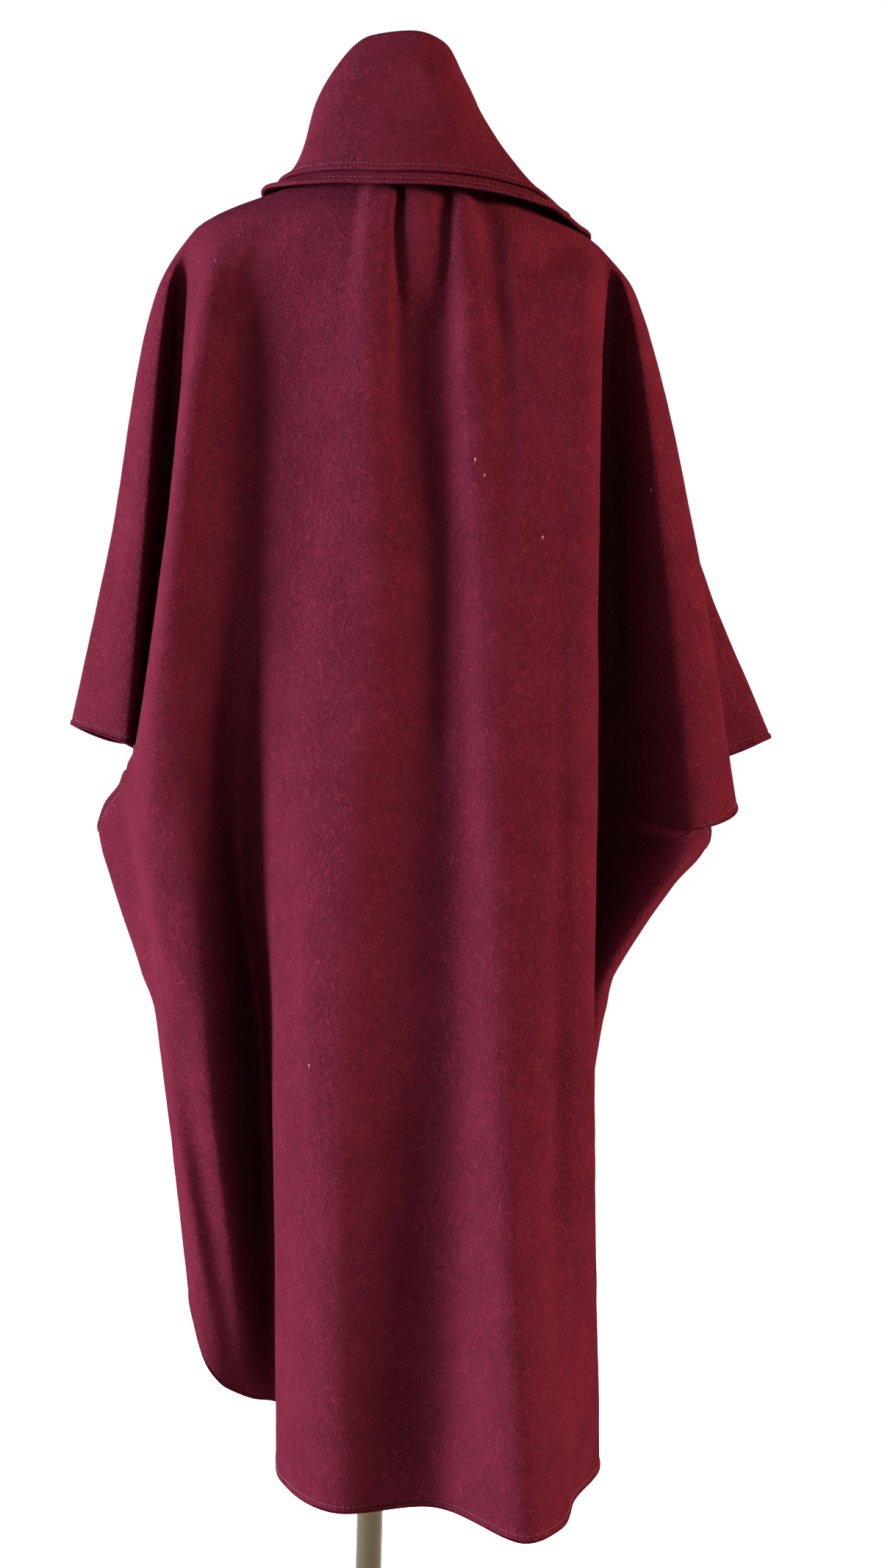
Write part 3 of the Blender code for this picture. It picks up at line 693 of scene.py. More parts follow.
def rounded_sheet(name, outer, inner, kept, finish):
    """One closed wall between two grids of points, rounded along every free edge."""
    rows, columns = kept.shape
    number = np.arange((rows + 1) * (columns + 1)).reshape(rows + 1, columns + 1)
    quads = np.stack([number[:-1, :-1], number[1:, :-1], number[1:, 1:], number[:-1, 1:]],
                     axis=-1)[kept]
    outer, inner = outer.reshape(-1, 3), inner.reshape(-1, 3)
    middle = (outer + inner) / 2
    normals = unit(outer - inner)
    half = np.linalg.norm(outer - inner, axis=1, keepdims=True) / 2
    edges, away = rim_of(quads, middle, normals)
    rim = np.unique(edges)
    centre = middle[rim] - away[rim] * half[rim]
    outer, inner = outer.copy(), inner.copy()
    outer[rim] = centre + normals[rim] * half[rim]
    inner[rim] = centre - normals[rim] * half[rim]
    turns = []
    for step in range(1, RIM_STEPS):
        turn = pi / 2 - pi * step / RIM_STEPS
        turns.append(centre + half[rim] * (cos(turn) * away[rim] + sin(turn) * normals[rim]))
    count = len(outer)
    place = np.full(count, -1)
    place[rim] = np.arange(len(rim))
    levels = [edges]
    levels += [2 * count + step * len(rim) + place[edges] for step in range(RIM_STEPS - 1)]
    levels.append(edges + count)
    faces = [quads, quads[:, ::-1] + count]
    for upper, lower in zip(levels, levels[1:]):
        faces.append(np.stack([upper[:, 1], upper[:, 0], lower[:, 0], lower[:, 1]], axis=1))
    faces = np.concatenate(faces)
    used, compact = np.unique(faces, return_inverse=True)
    points = np.vstack([outer, inner] + turns)[used]
    mesh = mesh_from(name, points, compact.reshape(faces.shape))
    return add_object(name, mesh, finish)


def lofted(name, rings, finish):
    """A closed solid through rings of points, flat at both ends."""
    rings = np.array(rings)
    count, sides = rings.shape[:2]
    number = np.arange(count * sides).reshape(count, sides)
    turned = np.roll(number, 1, axis=1)
    quads = np.stack([turned[:-1], number[:-1], number[1:], turned[1:]], axis=-1).reshape(-1, 4)
    faces = list(quads) + [number[0], number[-1][::-1]]
    return add_object(name, mesh_from(name, rings.reshape(-1, 3), faces), finish)


def facing_out(made):
    """Turns the mesh's faces outward if its volume comes out negative."""
    mesh = made.data
    mesh.calc_loop_triangles()
    corners = np.array([mesh.vertices[v].co for t in mesh.loop_triangles for v in t.vertices])
    if np.linalg.det(corners.reshape(-1, 3, 3)).sum() < 0:
        mesh.flip_normals()
    return made


def fitted(made, nodes):
    """The piece rides on the object's body and stands for its nodes, which it hides."""
    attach(made, BODY)
    if nodes:
        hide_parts(*nodes)
    return made


# ---- Materials ----------------------------------------------------------------------

def add_node(tree, kind, inputs=None, **settings):
    """Adds a node with these settings. An input takes a value or another node's output."""
    made = tree.nodes.new(kind)
    for name, value in settings.items():
        setattr(made, name, value)
    for name, value in (inputs or {}).items():
        if isinstance(value, bpy.types.NodeSocket):
            tree.links.new(value, made.inputs[name])
        else:
            made.inputs[name].default_value = value
    return made


def new_material(name, constants):
    """A material with these values on its shader's own sockets, its node tree, and the
    place on the object that its patterns go by."""
    made = bpy.data.materials.new(name)
    made.use_nodes = True
    tree = made.node_tree
    for socket, value in constants.items():
        tree.nodes["Principled BSDF"].inputs[socket].default_value = value
    return made, tree, add_node(tree, "ShaderNodeTexCoord").outputs["Object"]


def shown_by(made, patterns):
    """The material, with the patterns' outputs linked to its shader's sockets."""
    tree = made.node_tree
    for socket, output in patterns.items():
        tree.links.new(output, tree.nodes["Principled BSDF"].inputs[socket])
    return made


def brushed_wool(settings):
    """Wool coating, woven, fulled and brushed. The raised fibres hide the weave: the
    eye sees a soft matt face, small cloudy tufts that lie downward, paler where the
    fibres are seen from the side, and a few stray pale fibres."""
    made, tree, place = new_material("brushed_wool_coating", {
        "Roughness": 0.95, "IOR": 1.54, "Specular IOR Level": 0.0, "Sheen Weight": 0.01,
        "Sheen Roughness": 0.55, "Sheen Tint": (*linear("#D77A9A"), 1)})
    # Tufts are 3 mm long and 2 mm wide, and lie downward a little to one side
    combed = add_node(tree, "ShaderNodeMapping", {
        "Vector": place, "Rotation": (0, radians(14), 0), "Scale": (1, 1, 0.66)}).outputs[0]
    tufts = add_node(tree, "ShaderNodeTexNoise", {
        "Vector": combed, "Scale": 540, "Detail": 5, "Roughness": 0.62, "Distortion": 0.5})
    # Single fibres are 0.02 mm thick, drawn as 0.6 mm strands so that they show
    strands = add_node(tree, "ShaderNodeTexNoise", {
        "Vector": combed, "Scale": 1700, "Detail": 2, "Roughness": 0.5, "Distortion": 1.6})
    # Wear rolls the fibres into soft ridges and pills 3 to 8 mm long. The pills are painted
    # paler: partly their own tone, partly painted highlight on their raised tops
    rolled = add_node(tree, "ShaderNodeTexNoise", {
        "Vector": place, "Scale": 175, "Detail": 3, "Roughness": 0.6, "Distortion": 0.8})
    pills_and_highlight = add_node(tree, "ShaderNodeMapRange", {
        "Value": rolled.outputs["Fac"], "From Min": 0.5, "From Max": 0.66,
        "To Min": 0, "To Max": 1.0})
    # Handling leaves clouds 20 to 60 mm across where the nap lies another way
    clouds = add_node(tree, "ShaderNodeTexNoise", {
        "Vector": place, "Scale": 26, "Detail": 3, "Roughness": 0.55, "Distortion": 0.4})
    # Between the raised tufts the face takes the deep wool colour: partly the lower fibres' own
    # tone, partly painted shade in the hollows of the nap
    depth = add_node(tree, "ShaderNodeMapRange", {
        "Value": tufts.outputs["Fac"], "From Min": 0.30, "From Max": 0.66})
    face = add_node(tree, "ShaderNodeMix", {
        "Factor": depth.outputs[0], "A": (*settings.wool_deep_and_shade, 1), "B": (*settings.wool, 1)},
        data_type="RGBA")
    cloud_share = add_node(tree, "ShaderNodeMapRange", {
        "Value": clouds.outputs["Fac"], "From Min": 0.35, "From Max": 0.65,
        "To Min": 0.90, "To Max": 1.08})
    # Pills painted up to 28 percent paler, partly their own tone and partly painted highlight,
    # with the clouds' slight change of tone
    pill_highlight_and_clouds = add_node(tree, "ShaderNodeMath", {
        0: pills_and_highlight.outputs[0], 1: 0.28, 2: cloud_share.outputs[0]}, operation="MULTIPLY_ADD")
    clouded_and_highlit = add_node(tree, "ShaderNodeVectorMath", {
        0: face.outputs["Result"], "Scale": pill_highlight_and_clouds.outputs[0]}, operation="SCALE")
    # Stray fibres are 1 to 3 mm long and some 120 mm apart
    stray = add_node(tree, "ShaderNodeMapping", {
        "Vector": place, "Rotation": (0.3, radians(38), 0.2), "Scale": (1, 1, 0.42)}).outputs[0]
    bent = add_node(tree, "ShaderNodeTexVoronoi", {
        "Vector": stray, "Scale": 95, "Randomness": 1.0})
    near = add_node(tree, "ShaderNodeMapRange", {
        "Value": bent.outputs["Distance"], "From Min": 0.045, "From Max": 0.075,
        "To Min": 1, "To Max": 0})
    chosen = add_node(tree, "ShaderNodeMath", {
        0: bent.outputs["Color"], 1: 0.89}, operation="GREATER_THAN")
    lint = add_node(tree, "ShaderNodeMath", {
        0: near.outputs[0], 1: chosen.outputs[0]}, operation="MULTIPLY")
    lint_share = add_node(tree, "ShaderNodeMath", {
        0: lint.outputs[0], 1: 0.55}, operation="MULTIPLY")
    finished = add_node(tree, "ShaderNodeMix", {
        "Factor": lint_share.outputs[0], "A": clouded_and_highlit.outputs[0],
        "B": (*settings.lint, 1)}, data_type="RGBA")
    both = add_node(tree, "ShaderNodeMath", {
        0: strands.outputs["Fac"], 1: 0.45, 2: tufts.outputs["Fac"]},
        operation="MULTIPLY_ADD")
    nap = add_node(tree, "ShaderNodeMath", {
        0: pills_and_highlight.outputs[0], 1: 0.5, 2: both.outputs[0]}, operation="MULTIPLY_ADD")
    relief = add_node(tree, "ShaderNodeBump", {
        "Height": nap.outputs[0], "Strength": 0.85, "Distance": 0.0024})
    return shown_by(made, {"Base Color": finished.outputs["Result"],
                           "Normal": relief.outputs[0]})


def sewing_thread(settings):
    """Spun polyester thread, dyed to the cloth. It has a slight gloss and a fine twist."""
    made, tree, place = new_material("spun_sewing_thread", {"Roughness": 0.55, "IOR": 1.57})
    # The twist repeats every 0.4 mm, and is drawn 3.5 mm apart so that it shows
    twist = add_node(tree, "ShaderNodeTexWave", {
        "Vector": place, "Scale": 180, "Distortion": 1.5}, wave_type="BANDS",
        bands_direction="DIAGONAL")
    # The thread's colour follows its twist's relief: painted shade darkens the grooves and the
    # ridges are painted paler
    shade = add_node(tree, "ShaderNodeMapRange", {
        "Value": twist.outputs["Fac"], "To Min": 0.75, "To Max": 1.15})
    dyed_and_shaded = add_node(tree, "ShaderNodeVectorMath", {
        0: settings.thread_colour, "Scale": shade.outputs[0]}, operation="SCALE")
    relief = add_node(tree, "ShaderNodeBump", {
        "Height": twist.outputs["Fac"], "Strength": 0.4, "Distance": 0.0001})
    return shown_by(made, {"Base Color": dyed_and_shaded.outputs[0], "Normal": relief.outputs[0]})


def linen_cover(settings):
    """Linen, plain woven, stretched over the form. Two threads of slightly different
    paleness cross, with thicker slubs here and there."""
    made, tree, place = new_material("woven_linen_cover", {
        "Roughness": 0.85, "IOR": 1.53, "Sheen Weight": 0.15})
    # Threads are 0.7 mm apart, and are drawn 1.4 mm apart in height and 2.7 mm apart
    # across so that they show
    weft, warp = (add_node(tree, "ShaderNodeTexWave", {
        "Vector": place, "Scale": 230, "Distortion": 0.6, "Detail": 1},
        wave_type="BANDS", bands_direction=way) for way in ("Z", "DIAGONAL"))
    slubs = add_node(tree, "ShaderNodeTexNoise", {
        "Vector": place, "Scale": 160, "Detail": 3})
    over = add_node(tree, "ShaderNodeMath", {
        0: weft.outputs["Fac"], 1: warp.outputs["Fac"]}, operation="MULTIPLY")
    share = add_node(tree, "ShaderNodeMath", {
        0: slubs.outputs["Fac"], 1: 0.5, 2: over.outputs[0]}, operation="MULTIPLY_ADD")
    woven = add_node(tree, "ShaderNodeMix", {
        "Factor": share.outputs[0], "A": (*settings.linen_warp, 1),
        "B": (*settings.linen, 1)}, data_type="RGBA")
    relief = add_node(tree, "ShaderNodeBump", {
        "Height": share.outputs[0], "Strength": 0.5, "Distance": 0.0003})
    return shown_by(made, {"Base Color": woven.outputs["Result"],
                           "Normal": relief.outputs[0]})


def satin_metal(settings):
    """Nickel-plated steel, turned and brushed round. Reflections spread into soft
    bands, with fine lines round the piece and slightly duller patches from handling."""
    made, tree, place = new_material("brushed_nickel_plate", {"Metallic": 0.75})
    # Brush marks are under 0.1 mm apart, drawn 0.5 mm apart so that they show
    stretched = add_node(tree, "ShaderNodeMapping", {
        "Vector": place, "Scale": (1, 1, 60)}).outputs[0]
    marks = add_node(tree, "ShaderNodeTexNoise", {
        "Vector": stretched, "Scale": 34, "Detail": 4, "Roughness": 0.7})
    handled = add_node(tree, "ShaderNodeTexNoise", {
        "Vector": place, "Scale": 18, "Detail": 3})
    gloss = add_node(tree, "ShaderNodeMath", {
        0: marks.outputs["Fac"], 1: 0.12, 2: 0.24}, operation="MULTIPLY_ADD")
    dulled = add_node(tree, "ShaderNodeMath", {
        0: handled.outputs["Fac"], 1: 0.14, 2: gloss.outputs[0]}, operation="MULTIPLY_ADD")
    share = add_node(tree, "ShaderNodeMapRange", {
        "Value": marks.outputs["Fac"], "To Min": 0.90, "To Max": 1.08})
    tinted = add_node(tree, "ShaderNodeVectorMath", {
        0: settings.metal, "Scale": share.outputs[0]}, operation="SCALE")
    relief = add_node(tree, "ShaderNodeBump", {
        "Height": marks.outputs["Fac"], "Strength": 0.15, "Distance": 0.0001})
    return shown_by(made, {"Base Color": tinted.outputs[0], "Roughness": dulled.outputs[0],
                           "Normal": relief.outputs[0]})


def studio_floor(settings):
    """Matt vinyl, calendered. Pale and even, with the slightest mottling."""
    made, tree, place = new_material("matt_vinyl_floor", {
        "Roughness": 0.8, "IOR": 1.5, "Specular IOR Level": 0.2})
    mottle = add_node(tree, "ShaderNodeTexNoise", {"Vector": place, "Scale": 3, "Detail": 3})
    share = add_node(tree, "ShaderNodeMapRange", {
        "Value": mottle.outputs["Fac"], "To Min": 0.985, "To Max": 1.0})
    shade = add_node(tree, "ShaderNodeVectorMath", {
        0: settings.floor, "Scale": share.outputs[0]}, operation="SCALE")
    return shown_by(made, {"Base Color": shade.outputs[0]})


def finish(name, make, settings):
    """The finish of this name, made when it is first asked for."""
    return bpy.data.materials.get(name) or make(settings)


# ---- Coat ---------------------------------------------------------------------------

class CoatSurface:
    """The coat's two faces as grids of points, at the panels' own spacing."""

    def __init__(self, settings):
        spacing = settings.panel_spacing
        self.lines = line_numbers(spacing)
        self.upper = spaced_to_edges(0, CUFF_DOWN, spacing)
        self.band = spaced(CUFF_DOWN, UNDERARM_DOWN, spacing)[1:-1]
        self.lower = spaced_to_edges(UNDERARM_DOWN, HEM_DOWN, spacing)
        self.downs = np.concatenate([self.upper, self.band, self.lower])
        self.in_cuff = self.between(*LEFT_CUFF) | self.between(*RIGHT_CUFF)
        base = self.base_grid()
        normals = self.normals_of(base)
        lift = crease_rise(CREASES, base, normals) + slow_waves(base, settings.unevenness)
        middle_grid = base + normals * (lift * self.free_of_seams(base))[..., None]
        normals = self.normals_of(middle_grid)
        wall = settings.wall + self.edge_growth(middle_grid, settings)
        growth = (wall - settings.wall)[..., None] / 2
        self.outer = middle_grid + normals * growth
        self.inner = self.outer - normals * wall[..., None]
        self.normals = normals

    def between(self, start, end):
        """Which columns lie from one line number to another."""
        return (self.lines > start - TINY) & (self.lines < end + TINY)

    def column_of(self, line):
        """The column that runs along a fold line."""
        return int(np.nonzero(self.lines == LINE[line])[0][0])

    def base_grid(self):
        """The drape with its pleats. Between the cuffs and the underarm the rows run
        smoothly on from the sleeves' last row to the sides' first."""
        upper = cloth_grid(self.upper, self.lines)
        lower = cloth_grid(self.lower, self.lines)
        reach = UNDERARM_DOWN - CUFF_DOWN
        out_of = (upper[-1] - upper[-2]) / (self.upper[-1] - self.upper[-2]) * reach
        into = (lower[1] - lower[0]) / (self.lower[1] - self.lower[0]) * reach
        band = [hermite(upper[-1], out_of, lower[0], into, (down - CUFF_DOWN) / reach)
                for down in self.band]
        return np.vstack([upper, np.array(band), lower])

    def normals_of(self, grid):
        """Normals that don't reach across the open cuffs."""
        normals = outward(grid)
        first = len(self.upper)
        last = len(grid) - len(self.lower)
        normals[:first, self.in_cuff] = outward(grid[:first])[:, self.in_cuff]
        normals[last:, self.in_cuff] = outward(grid[last:])[:, self.in_cuff]
        return normals

    def free_of_seams(self, grid):
        """1 on the open cloth, falling to 0 at the neck seam, which the collar shares."""
        return ease(travelled(grid, 0) / COAT_CALM)

    def beside_edge(self, column, settings):
        """The line along a front edge at the stitching's inset, and its normals."""
        along = travelled(self.outer, 1)
        inset = abs(along - along[:, column:][:, :1])
        rows = range(STITCH_STEP_ROW * 2, len(self.downs) - STITCH_STEP_ROW)
        step = 1 if column == 0 else -1
        return [np.array([[np.interp(settings.stitch_inset, inset[i, ::step],
                                     grid[i, ::step, k]) for k in range(3)] for i in rows])
                for grid in (self.outer, self.normals)]

    def sewn_rows(self, name, first, final, settings):
        """The panel's topstitching along its hem, front edge, cuffs and underarm edges."""
        hem_row = len(self.downs) - 1 - STITCH_STEP_ROW
        cuff_row = len(self.upper) - 1 - STITCH_STEP_ROW
        side_row = len(self.downs) - len(self.lower) + STITCH_STEP_ROW
        numbers = np.arange(len(self.lines))
        own = (numbers > first + 1) & (numbers < final - 1)
        left = own & self.between(*LEFT_CUFF)
        right = own & self.between(*RIGHT_CUFF)
        routes = {"hem": (hem_row, own), "left_cuff": (cuff_row, left),
                  "right_cuff": (cuff_row, right), "left_side": (side_row, left),
                  "right_side": (side_row, right)}
        lines = {route: (self.outer[place], self.normals[place])
                 for route, place in routes.items() if place[1].any()}
        if name != "back":
            column = 0 if name == "front_left" else -1
            lines["edge"] = self.beside_edge(column, settings)
        return [stitched(name + "_" + route, *line, settings)
                for route, line in lines.items()]

    def edge_growth(self, grid, settings):
        """What the turned edges add to the wall: front edges, hem and cuffs."""
        along = travelled(grid, 1)
        down = travelled(grid, 0)
        cuff_row = len(self.upper) - 1
        side_row = len(grid) - len(self.lower)
        cuff = np.zeros_like(down)
        to_cuff = np.abs(down[cuff_row:cuff_row + 1] - down)
        to_side = np.abs(down - down[side_row:side_row + 1])
        cuff[:cuff_row + 1] = edge_shape(to_cuff, settings)[:cuff_row + 1]
        cuff[side_row:] = edge_shape(to_side, settings)[side_row:]
        cuff[:, ~self.in_cuff] = 0
        return strongest(open_edges(down, along, settings), cuff)


def stitched(name, path, normals, settings):
    """A row of stitches laid along a path, each a short thread sunk in at both ends."""
    along = np.concatenate([[0], np.cumsum(np.linalg.norm(np.diff(path, axis=0), axis=1))])
    starts = np.arange(settings.stitch_step, along[-1] - settings.stitch_step,
                       settings.stitch_step)
    shares = np.linspace(0, 1, STITCH_RINGS)
    at = starts[:, None] + shares * settings.stitch_length
    centre, up = (np.stack([np.interp(at, along, column) for column in table.T], axis=-1)
                  for table in (path, normals))
    up = unit(up)
    ahead = unit(centre[:, -1:] - centre[:, :1])
    aside = unit(np.cross(ahead, up))
    arch = np.sin(shares * pi)[None, :, None]
    radius = settings.thread / 2
    centre = centre + up * radius * STITCH_RISE * (arch - 0.5)
    turns = np.arange(STITCH_SIDES) * 2 * pi / STITCH_SIDES
    round_thread = (np.cos(turns)[:, None] * aside[:, :, None]
                    + np.sin(turns)[:, None] * up[:, :, None])
    radii = radius * (STITCH_END + (1 - STITCH_END) * arch)
    points = centre[:, :, None] + round_thread * radii[..., None]
    number = np.arange(STITCH_RINGS * STITCH_SIDES).reshape(STITCH_RINGS, STITCH_SIDES)
    turned_on = np.roll(number, -1, axis=1)
    sides = np.stack([number[:-1], turned_on[:-1], turned_on[1:], number[1:]], axis=-1)
    one = list(sides.reshape(-1, 4)) + [number[0][::-1], number[-1]]
    faces = [face + each * number.size for each in range(len(starts)) for face in one]
    thread = finish("spun_sewing_thread", sewing_thread, settings)
    name = "thread_" + name
    row = add_object(name, mesh_from(name, points.reshape(-1, 3), faces), thread)
    return fitted(facing_out(row), [])


def across_seam(grid, column, gap):
    """Half a seam's gap on each row, square to the seam, toward the next column."""
    along = unit(np.gradient(grid[:, column], axis=0))
    step = grid[:, column + 1] - grid[:, column - 1]
    step -= along * (step * along).sum(axis=1, keepdims=True)
    return unit(step) * gap / 2


# Each panel's node and the fold lines that its seams follow, or None at a front edge
PANELS = (("front_left", None, "left_arm"), ("back", "left_arm", "right_arm"),
          ("front_right", "right_arm", None))


class CAPECOAT_OT_panels(Operator):
    """Makes the coat's back and two fronts"""

    bl_idname = "cape_coat.panels"
    bl_label = "Make coat panels"

    def execute(self, context):
        settings = context.scene.cape_coat
        wool = finish("brushed_wool_coating", brushed_wool, settings)
        coat = CoatSurface(settings)
        kept = np.ones((len(coat.downs) - 1, len(coat.lines) - 1), bool)
        middles = (coat.lines[:-1] + coat.lines[1:]) / 2
        open_rows = slice(len(coat.upper) - 1, len(coat.downs) - len(coat.lower))
        for start, end in (LEFT_CUFF, RIGHT_CUFF):
            kept[open_rows, (middles > start) & (middles < end)] = False
        last = len(coat.lines) - 1
        for name, start, end in PANELS:
            first = coat.column_of(start) if start else 0
            final = coat.column_of(end) if end else last
            faces = []
            for grid in (coat.outer, coat.inner):
                face = grid[:, first:final + 1].copy()
                if first:
                    face[:, 0] += across_seam(grid, first, settings.seam_gap)
                if final < last:
                    face[:, -1] -= across_seam(grid, final, settings.seam_gap)
                faces.append(face)
            panel = rounded_sheet("wool_" + name, *faces, kept[:, first:final], wool)
            fitted(facing_out(panel), [name])
            sewn = coat.sewn_rows(name, first, final, settings)
        return {"FINISHED"}


# ---- Collar -------------------------------------------------------------------------

def curve_between(start, start_pull, end_pull, end, count):
    """Points along a curve that leaves and arrives in the directions of its pulls."""
    t = np.linspace(0, 1, count)[:, None]
    a, b = start + start_pull, end - end_pull
    return (start * (1 - t)**3 + a * 3 * t * (1 - t)**2 + b * 3 * t**2 * (1 - t)
            + end * t**3)


class CoatTop:
    """The coat's top without its pleats, to lay collars of one wall's thickness on."""

    def __init__(self, lines, wall):
        self.wall = wall
        self.downs = np.linspace(0, COLLAR_REACH, COLLAR_BED_ROWS)
        self.grid = cloth_grid(self.downs, lines, pleated=False)
        self.normals = outward(self.grid)

    def at(self, column, down):
        """A point of the outer face, its normal and the way up the cloth."""
        i = min(np.searchsorted(self.downs, down, side="right") - 1, len(self.downs) - 2)
        t = (down - self.downs[i]) / (self.downs[i + 1] - self.downs[i])
        upper, lower = self.grid[i:i + 2, column]
        normal = self.normals[i, column] * (1 - t) + self.normals[i + 1, column] * t
        rise = (upper - lower) / np.linalg.norm(upper - lower)
        return upper * (1 - t) + lower * t, normal / np.linalg.norm(normal), rise


def upper_section(coat, column, station, row_share):
    """The upper collar from the neck seam up, over the roll line and down outside."""
    away = np.array((sin(radians(station.angle)), cos(radians(station.angle)), 0))
    stand_off = station.stand_off * MM
    neck, neck_normal, rise = coat.at(column, 0)
    seam = neck + rise * COLLAR_SEAM_GAP
    top = np.array((station.across, station.out, station.height)) * MM
    stand_end = top - (away + UP) * ROLL_RADIUS
    fall_start = top + (away - UP) * ROLL_RADIUS
    pull = (stand_end - seam)[2] * STAND_PULL
    stand = curve_between(seam, (rise + UP) / 2 * pull, UP * pull, stand_end, STAND_ROWS)
    curve = ROLL_RADIUS * ROLL_PULL / 2
    half = ROLL_ROWS // 2
    roll_up = curve_between(stand_end, UP * curve, away * curve, top, half)[1:]
    roll_down = curve_between(top, away * curve, -UP * curve, fall_start, half)[1:]
    lift = fall_start - neck - neck_normal * stand_off
    fall = []
    for share in spaced(0, 1, row_share)[1:]:
        point, normal, _ = coat.at(column, station.edge_down * MM * share)
        lifted = (1 - share) ** (1 + FALL_HUGS * away[0] ** 2)
        fall.append(point + normal * stand_off + lift * lifted)
    return np.vstack([stand, roll_up, roll_down, fall])


def under_section(coat, column, station, row_share):
    """The under collar: a layer between the coat and the upper collar's fall."""
    section = []
    edge = station.edge_down * MM
    low = station.stand_off * MM - coat.wall - UNDER_DEEPER
    end = edge + station.shows * MM
    for share in spaced(0, 1, row_share):
        down = UNDER_SEAM_DOWN + (end - UNDER_SEAM_DOWN) * share
        point, normal, _ = coat.at(column, down)
        reached = min(1, (down - UNDER_SEAM_DOWN) / (edge - UNDER_SEAM_DOWN))
        section.append(point + normal * (UNDER_SEAM_GAP + low * sin(pi / 2 * reached)))
    return section


def collar_stitches(name, outer, normals, down, settings):
    """The topstitching along a collar's lower edge, at its inset on every section."""
    sections = range(STITCH_STOPS, outer.shape[1] - STITCH_STOPS)
    inset = down[-1] - settings.stitch_inset
    path, ways = (np.array([[np.interp(inset[i], down[:, i], grid[:, i, k]) for k in range(3)]
                            for i in sections])
                  for grid in (outer, normals))
    return [stitched(name, path, ways, settings)]


# Each collar's node, what makes its sections, its rows' spacing as a share of its depth,
# and the creases pressed into it
COLLARS = (("collar_upper", upper_section, 0.022, COLLAR_CREASES),
           ("collar_under", under_section, 0.04, ()))


class CAPECOAT_OT_collars(Operator):
    """Makes the upper and the under collar"""

    bl_idname = "cape_coat.collars"
    bl_label = "Make collars"

    def execute(self, context):
        settings = context.scene.cape_coat
        wool = finish("brushed_wool_coating", brushed_wool, settings)
        table = np.array(COLLAR, float)
        every = line_numbers(settings.collar_spacing * NECK_CLOSER)
        angles = np.interp(every, range(len(FOLDS)), NECK_ANGLES)
        within = abs(angles) < table[0, 0] - LEAST_TURN
        angles = np.concatenate([table[:1, 0], angles[within], table[-1:, 0]])
        lines = np.interp(-angles, [-angle for angle in NECK_ANGLES], range(len(FOLDS)))
        coat = CoatTop(lines, settings.wall)
        stations = [Station(*row) for row in on_path(-table[:, 0], table, -angles)]
        for name, section, row_share, creases in COLLARS:
            grid = np.array([section(coat, i, station, row_share)
                             for i, station in enumerate(stations)]).transpose(1, 0, 2)
            normals = outward(grid)
            lift = slow_waves(grid, settings.unevenness) + crease_rise(creases, grid, normals)
            calmed = lift * ease(travelled(grid, 0) / COLLAR_CALM)
            grid = grid + normals * calmed[..., None]
            down = travelled(grid, 0)
            added = open_edges(down, travelled(grid, 1), settings)
            added = added * ease(down / COLLAR_EDGE_CALM)
            inner = grid - normals * (added / 2)[..., None]
            outer = grid + normals * (settings.wall + added / 2)[..., None]
            kept = np.ones((grid.shape[0] - 1, grid.shape[1] - 1), bool)
            collar = rounded_sheet("wool_" + name, outer, inner, kept, wool)
            fitted(facing_out(collar), [name])
            sewn = collar_stitches(name, outer, normals, down, settings)
        return {"FINISHED"}


# ---- Dress form ---------------------------------------------------------------------

class DRESSFORM_OT_torso(Operator):
    """Makes the form's covered torso"""

    bl_idname = "dress_form.torso"
    bl_label = "Make form torso"

    def execute(self, context):
        settings = context.scene.dress_form
        coat = context.scene.cape_coat
        linen = finish("woven_linen_cover", linen_cover, settings)
        lines = np.linspace(0, len(FOLDS) - 1, settings.torso_columns)
        angles = np.interp(lines, range(len(FOLDS)), NECK_ANGLES)
        directions = np.array([(sin(radians(a)), cos(radians(a)), 0) for a in angles])
        downs = np.arange(0, SHOULDER_REACH_MM + 1, SHOULDER_STEP_MM) * MM
        shoulders = cloth_grid(downs, lines, pleated=False)
        shoulders = shoulders - (coat.wall + FORM_CLEARANCE) * outward(shoulders)
        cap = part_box("form_torso")[1][2]
        neck_radius = (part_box("form_neck_cap")[1][0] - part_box("form_neck_cap")[0][0]) / 2
        rings = [directions * neck_radius + UP * cap,
                 directions * neck_radius + UP * (cap + NECK_STRAIGHT_FROM) / 2,
                 directions * neck_radius + UP * NECK_STRAIGHT_FROM,
                 shoulders[0] * (NECK_BASE_SHARE, NECK_BASE_SHARE, 1) + UP * NECK_BASE_RISE]
        rings += [shoulders[down // SHOULDER_STEP_MM] for down in SHOULDER_RINGS_MM]
        for ring in FORM_RINGS:
            depth = np.where(directions[:, 1] > 0, ring.back, ring.front)
            sizes = np.stack([np.full(len(angles), ring.side), depth, depth * 0], axis=1)
            rings.append(directions * sizes * MM + (0, 0, ring.height * MM))
        rings = np.array(rings)
        steps = np.linalg.norm(np.diff(rings, axis=0), axis=2).mean(axis=1)
        stations = np.concatenate([[0], np.cumsum(steps)])
        between = np.arange(0, stations[-1], TORSO_STEP)
        finer = on_path(stations, rings.reshape(len(rings), -1),
                        np.unique(np.concatenate([stations, between])))
        torso = lofted("linen_torso", finer.reshape(len(finer), -1, 3), linen)
        fitted(facing_out(torso), ["form_torso"])
        return {"FINISHED"}


def turned_profile(radius, low, high, edge):
    """Radius and height of a round piece's outline with eased rims."""
    turns = np.linspace(0, pi / 2, RIM_POINTS)
    flat = radius - edge * RIM_RADII_IN
    outline = [(radius - edge + edge * sin(a), low + edge - edge * cos(a)) for a in turns]
    outline += [(radius - edge + edge * cos(a), high - edge + edge * sin(a)) for a in turns]
    return [(flat, low)] + outline + [(flat, high)]


def turned(name, profile, sides, metal):
    """A solid of revolution about the form's axis."""
    angles = np.arange(sides) * 2 * pi / sides
    rings = [[(r * cos(a), r * sin(a), z) for a in angles] for r, z in profile]
    return facing_out(lofted(name, rings, metal))


